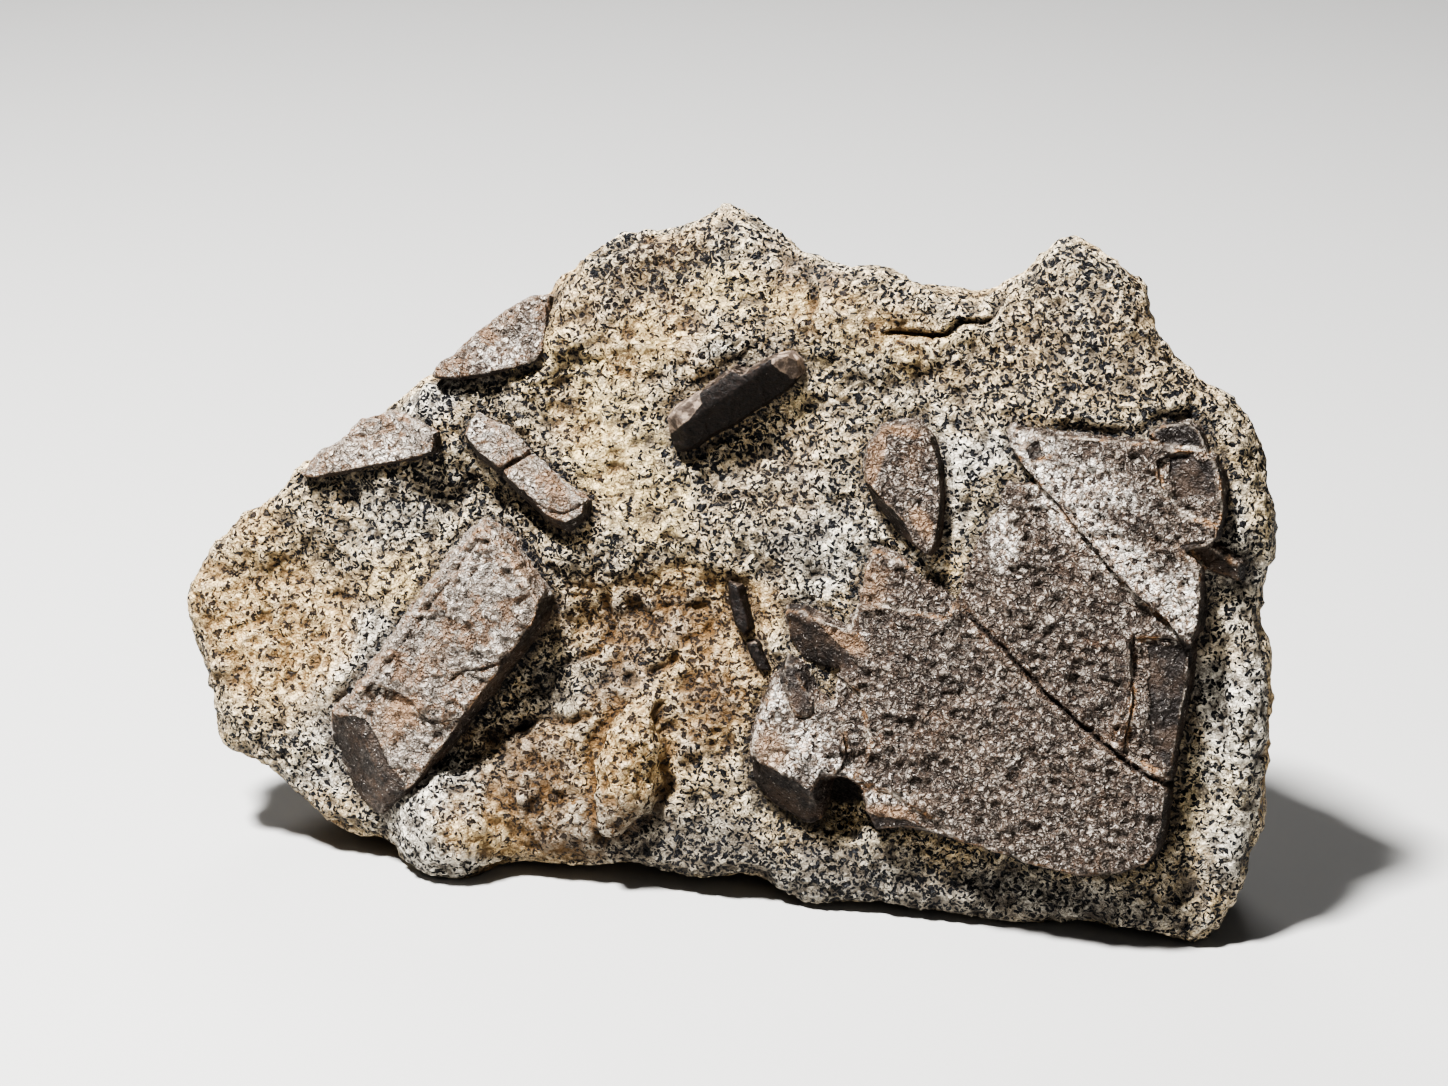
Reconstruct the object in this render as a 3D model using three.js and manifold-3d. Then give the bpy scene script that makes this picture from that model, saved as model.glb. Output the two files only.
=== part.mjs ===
// Staurolite schist: a hand specimen of pale mica schist that stands on its lower edge, with brown
// staurolite crystals grown in its front face.
//
// Millimetres, +Z up, origin under the middle of the stone. The front face looks towards -Y and
// leans back. Its shapes are laid out in the face's own frame: u runs to the right, v runs up the
// face, and h stands out of it, so a depth inside the stone is a negative h.

import * as THREE from "three";
import { mergeVertices } from "three/addons/utils/BufferGeometryUtils.js";
import Module from "manifold-3d";

const wasm = await Module();
wasm.setup();

// Driving dimensions of the stone.
const LEAN = THREE.MathUtils.degToRad(12); // the front face leans back
const FACE_Y = -24; // the face's lower edge, before the stone is centred
const HEART = [21, 42]; // the rim is seen whole from this point of the face
const SPAN = { middle: [0, 49], half: [81, 51] }; // ellipse that the rim's points are spread by
const STONE_DETAIL = 14; // the ball that the stone is pushed out of has 20 (n + 1)^2 triangles
const FRONT_SHARE = 0.48; // of the way from the front's middle to the back's
const RIM_SHARE = 0.17;
const FRONT_ROLL = 4; // radius of the worn edge round the front
const BACK_ROLL = 7;
const RIM_TAPER = 0.09; // the back's outline is smaller than the front's by this share
const WAVE = 0.45; // height of the surface's slow waves

// Driving dimensions of the crystals.
const SOCKET_GAP = 0.3; // between a crystal and its socket in the schist
const SOCKET_LIFT = 4; // a socket runs this far out past its crystal
const FLARE = 0.6; // how far a crystal's sides spread below its top face
const FOOT_H = -0.6; // where the sides stop spreading
const ROOT_SHRINK = 0.94;
const BLOCK = 60; // side of the block that takes off a broken corner

// The rim seen square to the face: [u, v], from the left foot up, over the top and back below.
const RIM = [
  // left end
  [-60, 8.5], [-61, 10], [-64.5, 12], [-69.5, 13.3], [-73.5, 15.5], [-75.3, 19], [-75, 23],
  [-77, 26.5], [-79, 30.5], [-79.6, 33.5], [-79, 38], [-77.5, 42.5], [-76, 45], [-73, 46.5],
  // long upper left side
  [-72, 49.8], [-67, 53], [-64, 55], [-62.5, 57.5], [-60, 60], [-57.5, 61.3], [-50, 67.3],
  [-42.5, 73.3], [-36, 78.7], [-27.5, 85], [-21, 90.3], [-18, 93.6], [-16, 95],
  // middle peak
  [-10, 95.8], [-6, 96.6], [-1.5, 98.7], [0, 100], [2, 100.5], [3.7, 100.1], [5, 98.6],
  [6.3, 96.5], [9, 94.7], [13, 93.5], [18, 91.9], [20.3, 93], [22.5, 94], [24.5, 93.7], [27, 92],
  [31, 90.6], [36, 90], [39.7, 89.8],
  // right peak
  [42, 92], [43.5, 94.3], [45.3, 97.7], [47, 98.8], [48.8, 98.3], [50, 97], [52.5, 96.4],
  [54.5, 96.4], [57.3, 95.2], [58.8, 93.6], [59.3, 91], [61, 88], [63, 84.2], [64.7, 82],
  // right end
  [70, 78.6], [75, 74.6], [77, 72], [79, 67], [79.9, 62], [79.3, 57.5], [77.6, 52], [78.3, 48],
  [79.5, 43], [80.6, 38], [81.7, 31], [81.5, 27.5], [80.3, 22], [79.7, 15], [79, 10], [76.7, 4],
  [75, 1.5], [73.5, 0.2],
  // lower edge
  [71, 0], [68, 0.7], [64, 1.6], [54, 2.2], [48, 0.9], [44, 1.6], [36, 0.9], [31, 1.5],
  [21, 0.6], [17.5, 0.5], [13.5, 2], [9, 3.9], [4.5, 2.8], [-4, 3.7], [-14, 4.2], [-18, 3.2],
  [-26, 2.6], [-29.5, 1.8], [-32, 0.6], [-36.5, 0], [-40, 0.5], [-45, 2.4], [-51, 4],
  [-55.5, 4.6], [-58, 6],
];

// Swellings and hollows of the front: middle, half-lengths along and across, turn in degrees, rise.
const SWELLS = [
  { name: "swell beside the buried crystal", at: [-22, 17], size: [13, 9], turn: 75, rise: 1.6 },
  { name: "dish of the left lobe", at: [-60, 36], size: [16, 12], turn: 40, rise: -1.8 },
  { name: "bank against the left blade", at: [-50, 34], size: [15, 4], turn: 58, rise: 1.6 },
  { name: "hollow right of the left blade", at: [-25, 30], size: [17, 7], turn: 55, rise: -2.6 },
  { name: "hollow under the bar", at: [-32, 56], size: [9, 6], turn: -35, rise: -3 },
  { name: "long swell in the middle", at: [-14, 60], size: [16, 9], turn: 70, rise: 1.6 },
  { name: "rusty hollow", at: [-6, 42], size: [13, 8], turn: 10, rise: -2.6 },
  { name: "hollow under the black blade", at: [5, 66], size: [10, 5], turn: 35, rise: -1.8 },
  { name: "swell over the black blade", at: [2, 82], size: [12, 5], turn: 15, rise: 1.4 },
  { name: "bank under the plates", at: [47, 45], size: [26, 26], turn: 0, rise: 1.6 },
  { name: "cavity in the plate's broken arm", at: [21.5, 15.5], size: [5, 4.2], turn: 0, rise: -5 },
  { name: "gully right of the plates", at: [72, 34], size: [20, 3.4], turn: 88, rise: -1.8 },
  { name: "gully below the plates", at: [50, 7], size: [26, 3], turn: -2, rise: -0.9 },
  { name: "right margin", at: [77, 30], size: [22, 4], turn: 88, rise: 0.6 },
  { name: "upper right swell", at: [56, 84], size: [14, 8], turn: -30, rise: 1.8 },
  { name: "upper middle swell", at: [27, 84], size: [12, 6], turn: 10, rise: 1.2 },
];

// Boulder-like lumps of schist that stand out of the front: middle, half-lengths along, across and
// out of the face, turn in degrees.
const LUMPS = [
  { name: "knob at the left foot", at: [-36.3, 7.6, -3], size: [9.6, 9, 9.4], turn: 8 },
  { name: "crystal buried under schist", at: [-10, 18.5, -1], size: [12.5, 5.6, 6.6], turn: 74 },
];
const LUMP_DETAIL = 4;

// Ledges: the schist above the line stands out by rise next to it, and sinks back within reach.
const LEDGES = [
  { name: "under the lower rim blade", from: [-63, 56.2], to: [-41, 60.6], rise: 3.2, reach: 16 },
  { name: "under the upper rim blade", from: [-43, 72], to: [-24, 75.8], rise: 3, reach: 16 },
  { name: "fold that carries on from it", from: [-24, 76], to: [-11, 80.6], rise: 1.8, reach: 14 },
];
const LEDGE_WIDTH = 1.6;
const LEDGE_END = 5; // a ledge dies out over this length at its ends

// The back is broken along these planes: depth behind the face at the origin, slope along u and v.
const BACK_PLANES = [
  { name: "upper back", depth: 47, alongU: 0.02, alongV: -0.3 },
  { name: "right flank", depth: 50, alongU: -0.28, alongV: -0.16 },
  { name: "left flank", depth: 46, alongU: 0.26, alongV: -0.12 },
  { name: "lower back", depth: 37, alongU: -0.03, alongV: 0.22 },
];

// The crystals. A crown is the outline of the top face, [u, v] from its top clockwise as seen from
// the front, and a foot is where the sides meet the schist: without one the sides spread by FLARE.
// The face is the plane of the crown: its height over a point and its slopes along u and v. A cut
// breaks off what lies outside a plane through three points, [u, v, h], and a step is an outline
// inside which the crown is lower by a drop.
const CRYSTALS = {
  staurolite_left_blade: {
    root: -6,
    face: { over: [-37, 31], h: 4.8, alongU: 0, alongV: -0.02 },
    crown: [
      [-31.9, 52.5], [-29.2, 50.3], [-25.2, 45.6], [-22.8, 42.4], [-23.4, 39.6], [-28.5, 32.1],
      [-31.6, 27.6], [-34, 24.1], [-38.4, 17.4], [-41, 13.6], [-43.6, 11.2], [-47, 8.8],
      [-50.6, 11.6], [-53.6, 16], [-54.6, 20.2], [-53.4, 22.9], [-50.2, 25.9], [-45, 34.1],
      [-40, 41.6], [-33.6, 50.9],
    ],
    foot: [
      [-32.8, 53.2], [-28.8, 50.9], [-24.6, 46], [-22, 42.4], [-22.6, 39.2], [-27.8, 31.6],
      [-30.9, 27.1], [-33.3, 23.6], [-37.8, 16.9], [-40.5, 12.8], [-43.6, 10.2], [-46.8, 8],
      [-51.6, 11], [-54.4, 15.4], [-55.6, 20.4], [-54.4, 23.6], [-51.3, 27], [-46.4, 35.4],
      [-41.4, 42.8], [-35.2, 51.4],
    ],
    cuts: [
      [[-50.6, 25.6, 4.9], [-43, 11.8, 5.2], [-54, 17, -0.6]],
      [[-44.4, 12.8, 5], [-41.6, 14.2, 5], [-45, 9, 1.2]],
      [[-50.6, 26.6, 4.5], [-33.4, 52, 4], [-53, 29.5, 1.5]],
    ],
    steps: [
      {
        drop: 0.8,
        outline: [
          [-49.6, 26.6], [-47, 28.2], [-44.6, 27.8], [-41.2, 26.2], [-39.6, 24.1], [-36.7, 23.7],
          [-33, 24.6], [-38, 14], [-44, 8], [-58, 14], [-56, 26],
        ],
      },
      { drop: 0.35, outline: [[-34.8, 30.2], [-29.4, 32.6], [-26, 30], [-31, 24], [-34.6, 26.6]] },
    ],
  },
  staurolite_bar: {
    root: -6,
    face: { over: [-26, 61], h: 3.1, alongU: 0.05, alongV: -0.04 },
    crown: [
      [-34, 67.8], [-30.4, 66.2], [-26.3, 62.6], [-21.3, 59.3], [-17.2, 57], [-17.1, 55.7],
      [-19.6, 54.1], [-22.2, 54.7], [-25.7, 57.3], [-29.8, 61], [-33.4, 63.1], [-35.4, 65.3],
    ],
    foot: [
      [-34.6, 68.6], [-29.8, 66.8], [-25.8, 63.2], [-20.9, 59.8], [-16.5, 57.3], [-16.6, 54.8],
      [-19.8, 51.6], [-22.5, 52.6], [-26.6, 55.8], [-31, 59.6], [-34.4, 61.9], [-36.6, 65],
    ],
    steps: [
      { drop: 0.3, outline: [[-30.9, 59.8], [-27.3, 62.8], [-26.8, 62.4], [-30.5, 59.4]] },
      { drop: 0.4, outline: [[-24, 64], [-20.6, 58.4], [-18.6, 57.4], [-14, 59], [-20, 63]] },
    ],
  },
  staurolite_lower_rim_blade: {
    root: -5,
    face: { over: [-50, 59.5], h: 2.9, alongU: 0.12, alongV: -0.33 },
    crown: [
      [-60.2, 57.8], [-58, 60.2], [-55, 62.1], [-51.5, 65.3], [-47.3, 66.9], [-43.2, 66.5],
      [-40.3, 64.9], [-40.1, 62.7], [-43.4, 61.3], [-49.4, 59.9], [-54.9, 58.3], [-58.5, 57.4],
    ],
    foot: [
      [-60.8, 57.2], [-58.6, 60.7], [-55.5, 62.8], [-52, 66], [-47.4, 67.6], [-42.9, 67.1],
      [-39.6, 65.3], [-39.5, 62.2], [-43.4, 60.7], [-49.4, 59.3], [-55, 57.6], [-58.8, 56.7],
    ],
  },
  staurolite_upper_rim_blade: {
    root: -5,
    face: { over: [-30, 75], h: 2.6, alongU: 0.1, alongV: -0.32 },
    crown: [
      [-41, 73.3], [-39.5, 75], [-36, 78], [-31.5, 81.8], [-27.5, 84.6], [-25.2, 85.2],
      [-24.6, 81.8], [-24.7, 78.3], [-25.4, 76.8], [-28.4, 75.7], [-32.4, 74.5], [-37, 73.4],
    ],
    foot: [
      [-41.7, 72.8], [-40, 75.4], [-36.5, 78.5], [-32, 82.3], [-27.8, 85.2], [-24.7, 85.9],
      [-24, 81.9], [-24, 77.9], [-24.9, 76.2], [-28.3, 75.1], [-32.3, 73.9], [-37, 72.8],
    ],
  },
  staurolite_black_blade: {
    root: -6,
    face: { over: [2, 74], h: 4.4, alongU: 0, alongV: 0 },
    crown: [
      [-5.5, 69.6], [-4.3, 71.3], [-1, 73.6], [1.5, 75.6], [3.7, 77.5], [5.1, 76.8], [9, 79.4],
      [11.3, 80.1], [12.4, 79.3], [12.6, 77.7], [10.2, 75], [7.2, 72.8], [3.7, 70.2],
      [0.2, 68.2], [-2.6, 66.2], [-4.1, 65.6], [-5, 67.4],
    ],
    foot: [
      [-6.1, 70], [-4.9, 72], [-1.6, 74.3], [0.8, 76.4], [3.4, 78.3], [5.3, 77.7], [8.8, 80.2],
      [11.6, 80.9], [13.1, 79.8], [13.3, 77.6], [10.7, 74.6], [7.6, 72.3], [4, 69.7],
      [0.5, 67.6], [-2.4, 65.4], [-4.7, 64.7], [-5.7, 67.2],
    ],
    cuts: [
      [[-2.8, 69.3, 4.4], [9.8, 79, 4.4], [4, 69.6, 0.9]],
      [[-6, 67.5, 1.6], [-4, 65, 1], [-2.6, 69.4, 4.4]],
    ],
  },
  staurolite_six_sided_crystal: {
    root: -6,
    face: { over: [26.5, 60], h: 5, alongU: -0.2, alongV: -0.13 },
    crown: [
      [27, 71.3], [29.8, 71.7], [32, 69.8], [33.3, 66.4], [33.9, 62.2], [33.9, 58], [33.6, 55],
      [32.7, 53.9], [31.2, 55.1], [29.5, 57.9], [26.4, 61], [24, 63.2], [23.5, 65.8],
      [23.7, 68.2], [24.8, 70.1],
    ],
    foot: [
      [26.6, 71.9], [30, 72.3], [32.6, 70.2], [33.9, 66.6], [34.5, 62.2], [34.6, 57.6],
      [34.3, 54.2], [32.9, 52.8], [30.4, 54], [26.6, 56.8], [23.8, 59.8], [22.5, 62.8],
      [22.3, 66], [22.7, 68.6], [24.1, 70.9],
    ],
  },
  staurolite_upper_lath: {
    root: -4,
    face: { over: [5, 43], h: 0.9, alongU: 0, alongV: 0 },
    crown: [
      [4.2, 46.8], [5.3, 46.4], [6.4, 43.2], [7.1, 40.6], [6.5, 39.9], [5.5, 41], [4.5, 43.8],
    ],
  },
  staurolite_lower_lath: {
    root: -4,
    face: { over: [8, 37], h: 0.9, alongU: 0, alongV: 0 },
    crown: [[7, 38.4], [8.2, 38.5], [9.3, 36.9], [10.4, 34.9], [9.1, 35], [7.7, 37]],
  },
};

// The plates of the big cluster overlap and are grown together, so they are one solid.
const CLUSTER = {
  lowerPlate: {
    root: -7,
    face: { over: [45, 30], h: 4.5, alongU: 0.03, alongV: -0.068 },
    crown: [
      [24.9, 53.4], [28.6, 52.1], [32.7, 50.2], [36.8, 47.4], [40.9, 43.9], [44.7, 40.7],
      [50.1, 36], [57.2, 30.8], [63.3, 26.7], [68.1, 24.8], [67.9, 19.8], [67.5, 16], [66.2, 13.7],
      [62.4, 12], [57.4, 11], [51.4, 11.6], [46.3, 12.8], [38.2, 14.4], [32, 15.2], [27.8, 14.4],
      [26.6, 16.6], [25.8, 19.4], [23.6, 21.1], [19.5, 21.7], [20.6, 29.5], [21, 34.5],
      [22.6, 43.4], [23.9, 50],
    ],
    steps: [
      { drop: 0.7, outline: [[20, 36], [24.5, 33], [26.4, 26], [24, 20], [16, 19], [16, 36]] },
      { drop: 0.5, outline: [[24, 21], [30, 19.6], [37, 16.4], [40, 12], [24, 10]] },
      {
        drop: 0.45,
        outline: [[23, 46], [30, 45.5], [36, 44.6], [37.6, 48.4], [32, 52], [22, 56], [20, 48]],
      },
    ],
  },
  brokenArm: {
    root: -7,
    face: { over: [15, 25], h: 4.1, alongU: 0.02, alongV: -0.16 },
    crown: [
      [13.3, 36.9], [15, 36], [17, 32.5], [21.5, 30], [23, 24], [21.4, 21.4], [19.4, 21],
      [18.3, 18.8], [17.1, 18.4], [14.6, 19.6], [11.6, 21.2], [9.1, 22.9], [9.4, 26],
      [10.7, 29.9], [11.9, 33.8],
    ],
    foot: [
      [12.8, 37.6], [15.7, 36.8], [18.1, 33.4], [22.4, 31], [24, 24], [22.4, 20.4], [20.4, 20],
      [19, 13.8], [17, 13], [12.2, 15], [8.9, 18], [8, 22.5], [8.4, 26.3], [9.7, 30.3],
      [11.1, 34.4],
    ],
    cuts: [[[11.6, 22.4, 4.6], [17.4, 19.2, 4.9], [13, 15, -0.6]]],
  },
  armLath: {
    root: -7,
    face: { over: [15.5, 33], h: 3.5, alongU: 0, alongV: -0.18 },
    crown: [
      [13.1, 36.7], [14.3, 36.3], [15.9, 33.8], [17.7, 31.5], [17.5, 29.6], [15.4, 29.3],
      [13.9, 32], [13.2, 34.5],
    ],
  },
  brokenCrystal: {
    root: -6,
    face: { over: [20, 40], h: 3.3, alongU: 0.06, alongV: -0.02 },
    crown: [
      [12.9, 44], [15.3, 44.2], [16.6, 43.3], [20.8, 42.5], [24.6, 41], [25.2, 39], [24.9, 37.1],
      [23.1, 36.7], [18.7, 36.6], [16.1, 37.2], [14.5, 38.9], [13.6, 40.9],
    ],
    foot: [
      [12.2, 44.5], [15.5, 44.9], [17, 44], [21, 43.2], [25.2, 41.5], [26, 39], [25.7, 36.4],
      [23.2, 35.9], [18.5, 35.8], [15.6, 36.6], [13.8, 38.4], [12.8, 40.7],
    ],
    cuts: [
      [[15.8, 43.4, 3.1], [23.6, 37.8, 3.4], [14.8, 38, 0.9]],
      [[15.6, 43.6, 3.1], [22.6, 42, 3.4], [18, 45, 1.8]],
    ],
  },
  upperPlate: {
    root: -7,
    face: { over: [55, 40], h: 4.1, alongU: 0.04, alongV: -0.06 },
    crown: [
      [43.2, 64.2], [46.9, 64.7], [50.7, 61.2], [55.8, 55.8], [61, 51.1], [66.1, 47.4],
      [69.8, 44], [69.8, 38.7], [69, 32.7], [68.3, 25.4], [63.2, 27.3], [57.1, 31.4], [50, 36.6],
      [44.6, 41.3], [40.8, 44.5], [37, 48], [38.7, 52.4], [40.4, 57.6],
    ],
    cuts: [[[45.2, 64.8, 2.6], [42.6, 55, 2.9], [40.6, 61, 0.6]]],
    steps: [
      {
        drop: 0.8,
        outline: [[61.6, 44.4], [66, 45], [71, 45], [70, 24], [66.6, 26.4], [61.8, 28.6], [62.6, 36]],
      },
    ],
  },
  topPlate: {
    root: -7,
    face: { over: [62, 62], h: 4.5, alongU: 0.08, alongV: -0.04 },
    crown: [
      [43, 72.1], [45.6, 71.3], [50.8, 71.6], [56.9, 71.6], [63, 71.3], [69.1, 71],
      [71.2, 70], [72.5, 67.1], [73, 62.6], [72.5, 59.4], [71, 58.2], [68.2, 57.5], [70.6, 54.7],
      [71, 50.7], [70.8, 46.8], [70, 44.2], [66.3, 47.8], [61.1, 51.4], [56, 56.2], [50.8, 61.5],
      [47.4, 65], [45.2, 67.2], [43.4, 69.4],
    ],
    steps: [
      {
        drop: 0.9,
        outline: [
          [63.6, 69.4], [66.4, 70.6], [75, 72], [75, 60.6], [70, 61.6], [66.6, 62.8], [64.4, 65.6],
        ],
      },
      { drop: 0.4, outline: [[40, 75], [49, 73], [50.4, 69.6], [46.4, 67.4], [40, 66]] },
    ],
  },
  rightTip: {
    root: -6,
    face: { over: [72, 57], h: 2.9, alongU: -0.08, alongV: 0.22 },
    crown: [
      [66.9, 57.3], [69.7, 58.2], [72.1, 57.7], [75.7, 55.5], [75.4, 53.7], [72.4, 54.5],
      [69.6, 55.8],
    ],
    foot: [
      [66.3, 57.1], [69.6, 59], [72.4, 58.5], [76.6, 55.8], [75.9, 52.9], [72.1, 53.7],
      [69.1, 55],
    ],
  },
  upperRightTip: {
    root: -6,
    face: { over: [67, 73], h: 3.1, alongU: 0.05, alongV: 0 },
    crown: [
      [62, 72.4], [63.9, 74], [67.4, 74.8], [69.1, 73.6], [70.3, 71.2], [65.8, 71],
    ],
  },
};

const MATERIALS = {
  schist: new THREE.MeshStandardMaterial({ color: 0xd9cbb0, roughness: 0.9, metalness: 0 }),
  crystal: new THREE.MeshStandardMaterial({ color: 0x7d6656, roughness: 0.7, metalness: 0 }),
  darkCrystal: new THREE.MeshStandardMaterial({ color: 0x2b2320, roughness: 0.6, metalness: 0 }),
};
const DARK_CRYSTALS = [
  "staurolite_black_blade", "staurolite_upper_lath", "staurolite_lower_lath",
];

const ease = (x) => THREE.MathUtils.smoothstep(x, 0, 1);

// The angle round HEART for a direction on the ball, spread evenly along a long stone.
function rimAngle(x, z) {
  const length = Math.max(Math.hypot(x, z), 1e-9);
  const u = SPAN.middle[0] + SPAN.half[0] * (x / length);
  const v = SPAN.middle[1] + SPAN.half[1] * (z / length);
  return Math.atan2(v - HEART[1], u - HEART[0]);
}

// Length of the ray from HEART at this angle to the rim.
function rimReach(angle) {
  const ray = [Math.cos(angle), Math.sin(angle)];
  let reach = 0;
  RIM.forEach(([au, av], i) => {
    const [bu, bv] = RIM[(i + 1) % RIM.length];
    const start = [au - HEART[0], av - HEART[1]];
    const edge = [bu - au, bv - av];
    const cross = ray[0] * edge[1] - ray[1] * edge[0];
    const alongRay = (start[0] * edge[1] - start[1] * edge[0]) / cross;
    const alongEdge = (start[0] * ray[1] - start[1] * ray[0]) / cross;
    if (alongRay > 0 && alongEdge >= 0 && alongEdge <= 1) reach = Math.max(reach, alongRay);
  });
  return reach;
}

// A swelling is a dome with a soft skirt, level beyond twice its size.
function swellAt(u, v, { at, size, turn, rise }) {
  const angle = THREE.MathUtils.degToRad(turn);
  const along = (u - at[0]) * Math.cos(angle) + (v - at[1]) * Math.sin(angle);
  const across = (v - at[1]) * Math.cos(angle) - (u - at[0]) * Math.sin(angle);
  const distance2 = (along / size[0]) ** 2 + (across / size[1]) ** 2;
  return rise * Math.exp(-distance2 * (0.6 + 0.4 * distance2));
}

function ledgeAt(u, v, { from, to, rise, reach }) {
  const length = Math.hypot(to[0] - from[0], to[1] - from[1]);
  const way = [(to[0] - from[0]) / length, (to[1] - from[1]) / length];
  const along = (u - from[0]) * way[0] + (v - from[1]) * way[1];
  const above = (v - from[1]) * way[0] - (u - from[0]) * way[1];
  const ends = ease(1 + along / LEDGE_END) * ease(1 + (length - along) / LEDGE_END);
  return rise * ends * ease(above / LEDGE_WIDTH + 0.5) * ease(1 - above / reach);
}

// Slow waves over the whole stone, made of four crossing sines.
function wave(u, v, h) {
  return WAVE * (Math.sin(u / 5.1 + v / 8.7) + Math.sin(v / 4.3 - u / 9.6 + 1.7)
    + 0.7 * Math.sin(u / 2.9 - h / 4.1 + 0.6) * Math.sin(v / 3.4 + h / 3.7));
}

function frontHeight(u, v) {
  const swells = SWELLS.reduce((sum, swell) => sum + swellAt(u, v, swell), 0);
  const ledges = LEDGES.reduce((sum, ledge) => sum + ledgeAt(u, v, ledge), 0);
  return swells + ledges + wave(u, v, 0) * 0.6;
}

function backDepth(u, v) {
  const depths = BACK_PLANES.map(({ depth, alongU, alongV }) => depth + alongU * u + alongV * v);
  return Math.min(...depths) + wave(u, v, -20);
}

// How far a rounded edge of this radius has sunk, at a distance in from the rim.
function roll(inwards, radius) {
  const out = 1 - Math.min(inwards / radius, 1);
  return radius * (1 - Math.sqrt(1 - out * out));
}

// The stone's surface at an angle round HEART and a share of the way from the front's middle to
// the back's, as [u, v, h].
function stonePoint(angle, share) {
  const reach = rimReach(angle);
  const place = (radius) => [
    HEART[0] + Math.cos(angle) * radius, HEART[1] + Math.sin(angle) * radius,
  ];
  if (share <= FRONT_SHARE) {
    const radius = reach * (share / FRONT_SHARE);
    const [u, v] = place(radius);
    return [u, v, frontHeight(u, v) - roll(reach - radius, FRONT_ROLL)];
  }
  const backReach = reach * (1 - RIM_TAPER);
  if (share >= FRONT_SHARE + RIM_SHARE) {
    const radius = backReach * ((1 - share) / (1 - FRONT_SHARE - RIM_SHARE));
    const [u, v] = place(radius);
    return [u, v, roll(backReach - radius, BACK_ROLL) - backDepth(u, v)];
  }
  const way = (share - FRONT_SHARE) / RIM_SHARE;
  const [frontU, frontV] = place(reach);
  const [backU, backV] = place(backReach);
  const edgeH = frontHeight(frontU, frontV) - FRONT_ROLL;
  const backEdgeH = BACK_ROLL - backDepth(backU, backV);
  const h = THREE.MathUtils.lerp(edgeH, backEdgeH, way);
  const [u, v] = place(THREE.MathUtils.lerp(reach, backReach, way * way) + wave(frontU, h, frontV));
  return [u, v, h];
}

// From the face's frame to the part's: the face leans back about its lower edge.
function faceToPart([u, v, h]) {
  return new THREE.Vector3(
    u,
    FACE_Y + v * Math.sin(LEAN) - h * Math.cos(LEAN),
    v * Math.cos(LEAN) + h * Math.sin(LEAN),
  );
}

// A closed three.js geometry as a solid that can be joined and cut.
function toSolid(geometry) {
  const bare = geometry.clone();
  bare.deleteAttribute("normal");
  bare.deleteAttribute("uv");
  const merged = mergeVertices(bare);
  return new wasm.Manifold(new wasm.Mesh({
    numProp: 3,
    vertProperties: merged.attributes.position.array,
    triVerts: new Uint32Array(merged.index.array),
  }));
}

function toGeometry(solid) {
  const mesh = solid.getMesh();
  const geometry = new THREE.BufferGeometry();
  geometry.setAttribute("position", new THREE.BufferAttribute(mesh.vertProperties, 3));
  geometry.setIndex(new THREE.BufferAttribute(mesh.triVerts, 1));
  geometry.computeVertexNormals();
  return geometry;
}

// A rough boulder of schist with its middle in the face's frame.
function makeLump({ at, size, turn }) {
  const ball = new THREE.IcosahedronGeometry(1, LUMP_DETAIL);
  const angle = THREE.MathUtils.degToRad(turn);
  const position = ball.attributes.position;
  const place = new THREE.Vector3();
  for (let i = 0; i < position.count; i++) {
    place.fromBufferAttribute(position, i).normalize();
    const along = place.x * size[0];
    const across = place.z * size[1];
    const u = at[0] + along * Math.cos(angle) - across * Math.sin(angle);
    const v = at[1] + along * Math.sin(angle) + across * Math.cos(angle);
    const h = at[2] - place.y * size[2];
    const point = faceToPart([u, v, h + wave(u * 1.7, v * 1.7, h) * 0.7]);
    position.setXYZ(i, point.x, point.y, point.z);
  }
  return toSolid(ball);
}

// The stone before its sockets are cut: a ball pushed out to the rim, front and back, with its
// lumps, whose lower edge is cut level to stand on.
function makeStone() {
  const ball = new THREE.IcosahedronGeometry(1, STONE_DETAIL);
  const position = ball.attributes.position;
  const place = new THREE.Vector3();
  for (let i = 0; i < position.count; i++) {
    place.fromBufferAttribute(position, i).normalize();
    const share = Math.acos(THREE.MathUtils.clamp(-place.y, -1, 1)) / Math.PI;
    const point = faceToPart(stonePoint(rimAngle(place.x, place.z), share));
    position.setXYZ(i, point.x, point.y, point.z);
  }
  const ground = new THREE.BoxGeometry(400, 400, 100).translate(0, 0, -50);
  const stone = LUMPS.map(makeLump).reduce((sum, lump) => sum.add(lump), toSolid(ball));
  return stone.subtract(toSolid(ground));
}

// The outline moved outwards by a distance, or inwards if it is negative. It runs clockwise.
function spread(outline, distance) {
  return outline.map(([u, v], i) => {
    const [bu, bv] = outline.at(i - 1);
    const [cu, cv] = outline[(i + 1) % outline.length];
    const length = Math.hypot(cu - bu, cv - bv);
    return [u - ((cv - bv) / length) * distance, v + ((cu - bu) / length) * distance];
  });
}

// Triangles over a flat ring, anticlockwise as seen from the front.
function capFaces(ring) {
  const corners = ring.map(([u, v]) => new THREE.Vector2(u, v));
  const faces = THREE.ShapeUtils.triangulateShape(corners, []);
  const areas = faces.map((face) => THREE.ShapeUtils.area(face.map((i) => corners[i])));
  const total = areas.reduce((sum, area) => sum + area);
  return total > 0 ? faces : faces.map((face) => face.toReversed());
}

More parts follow.
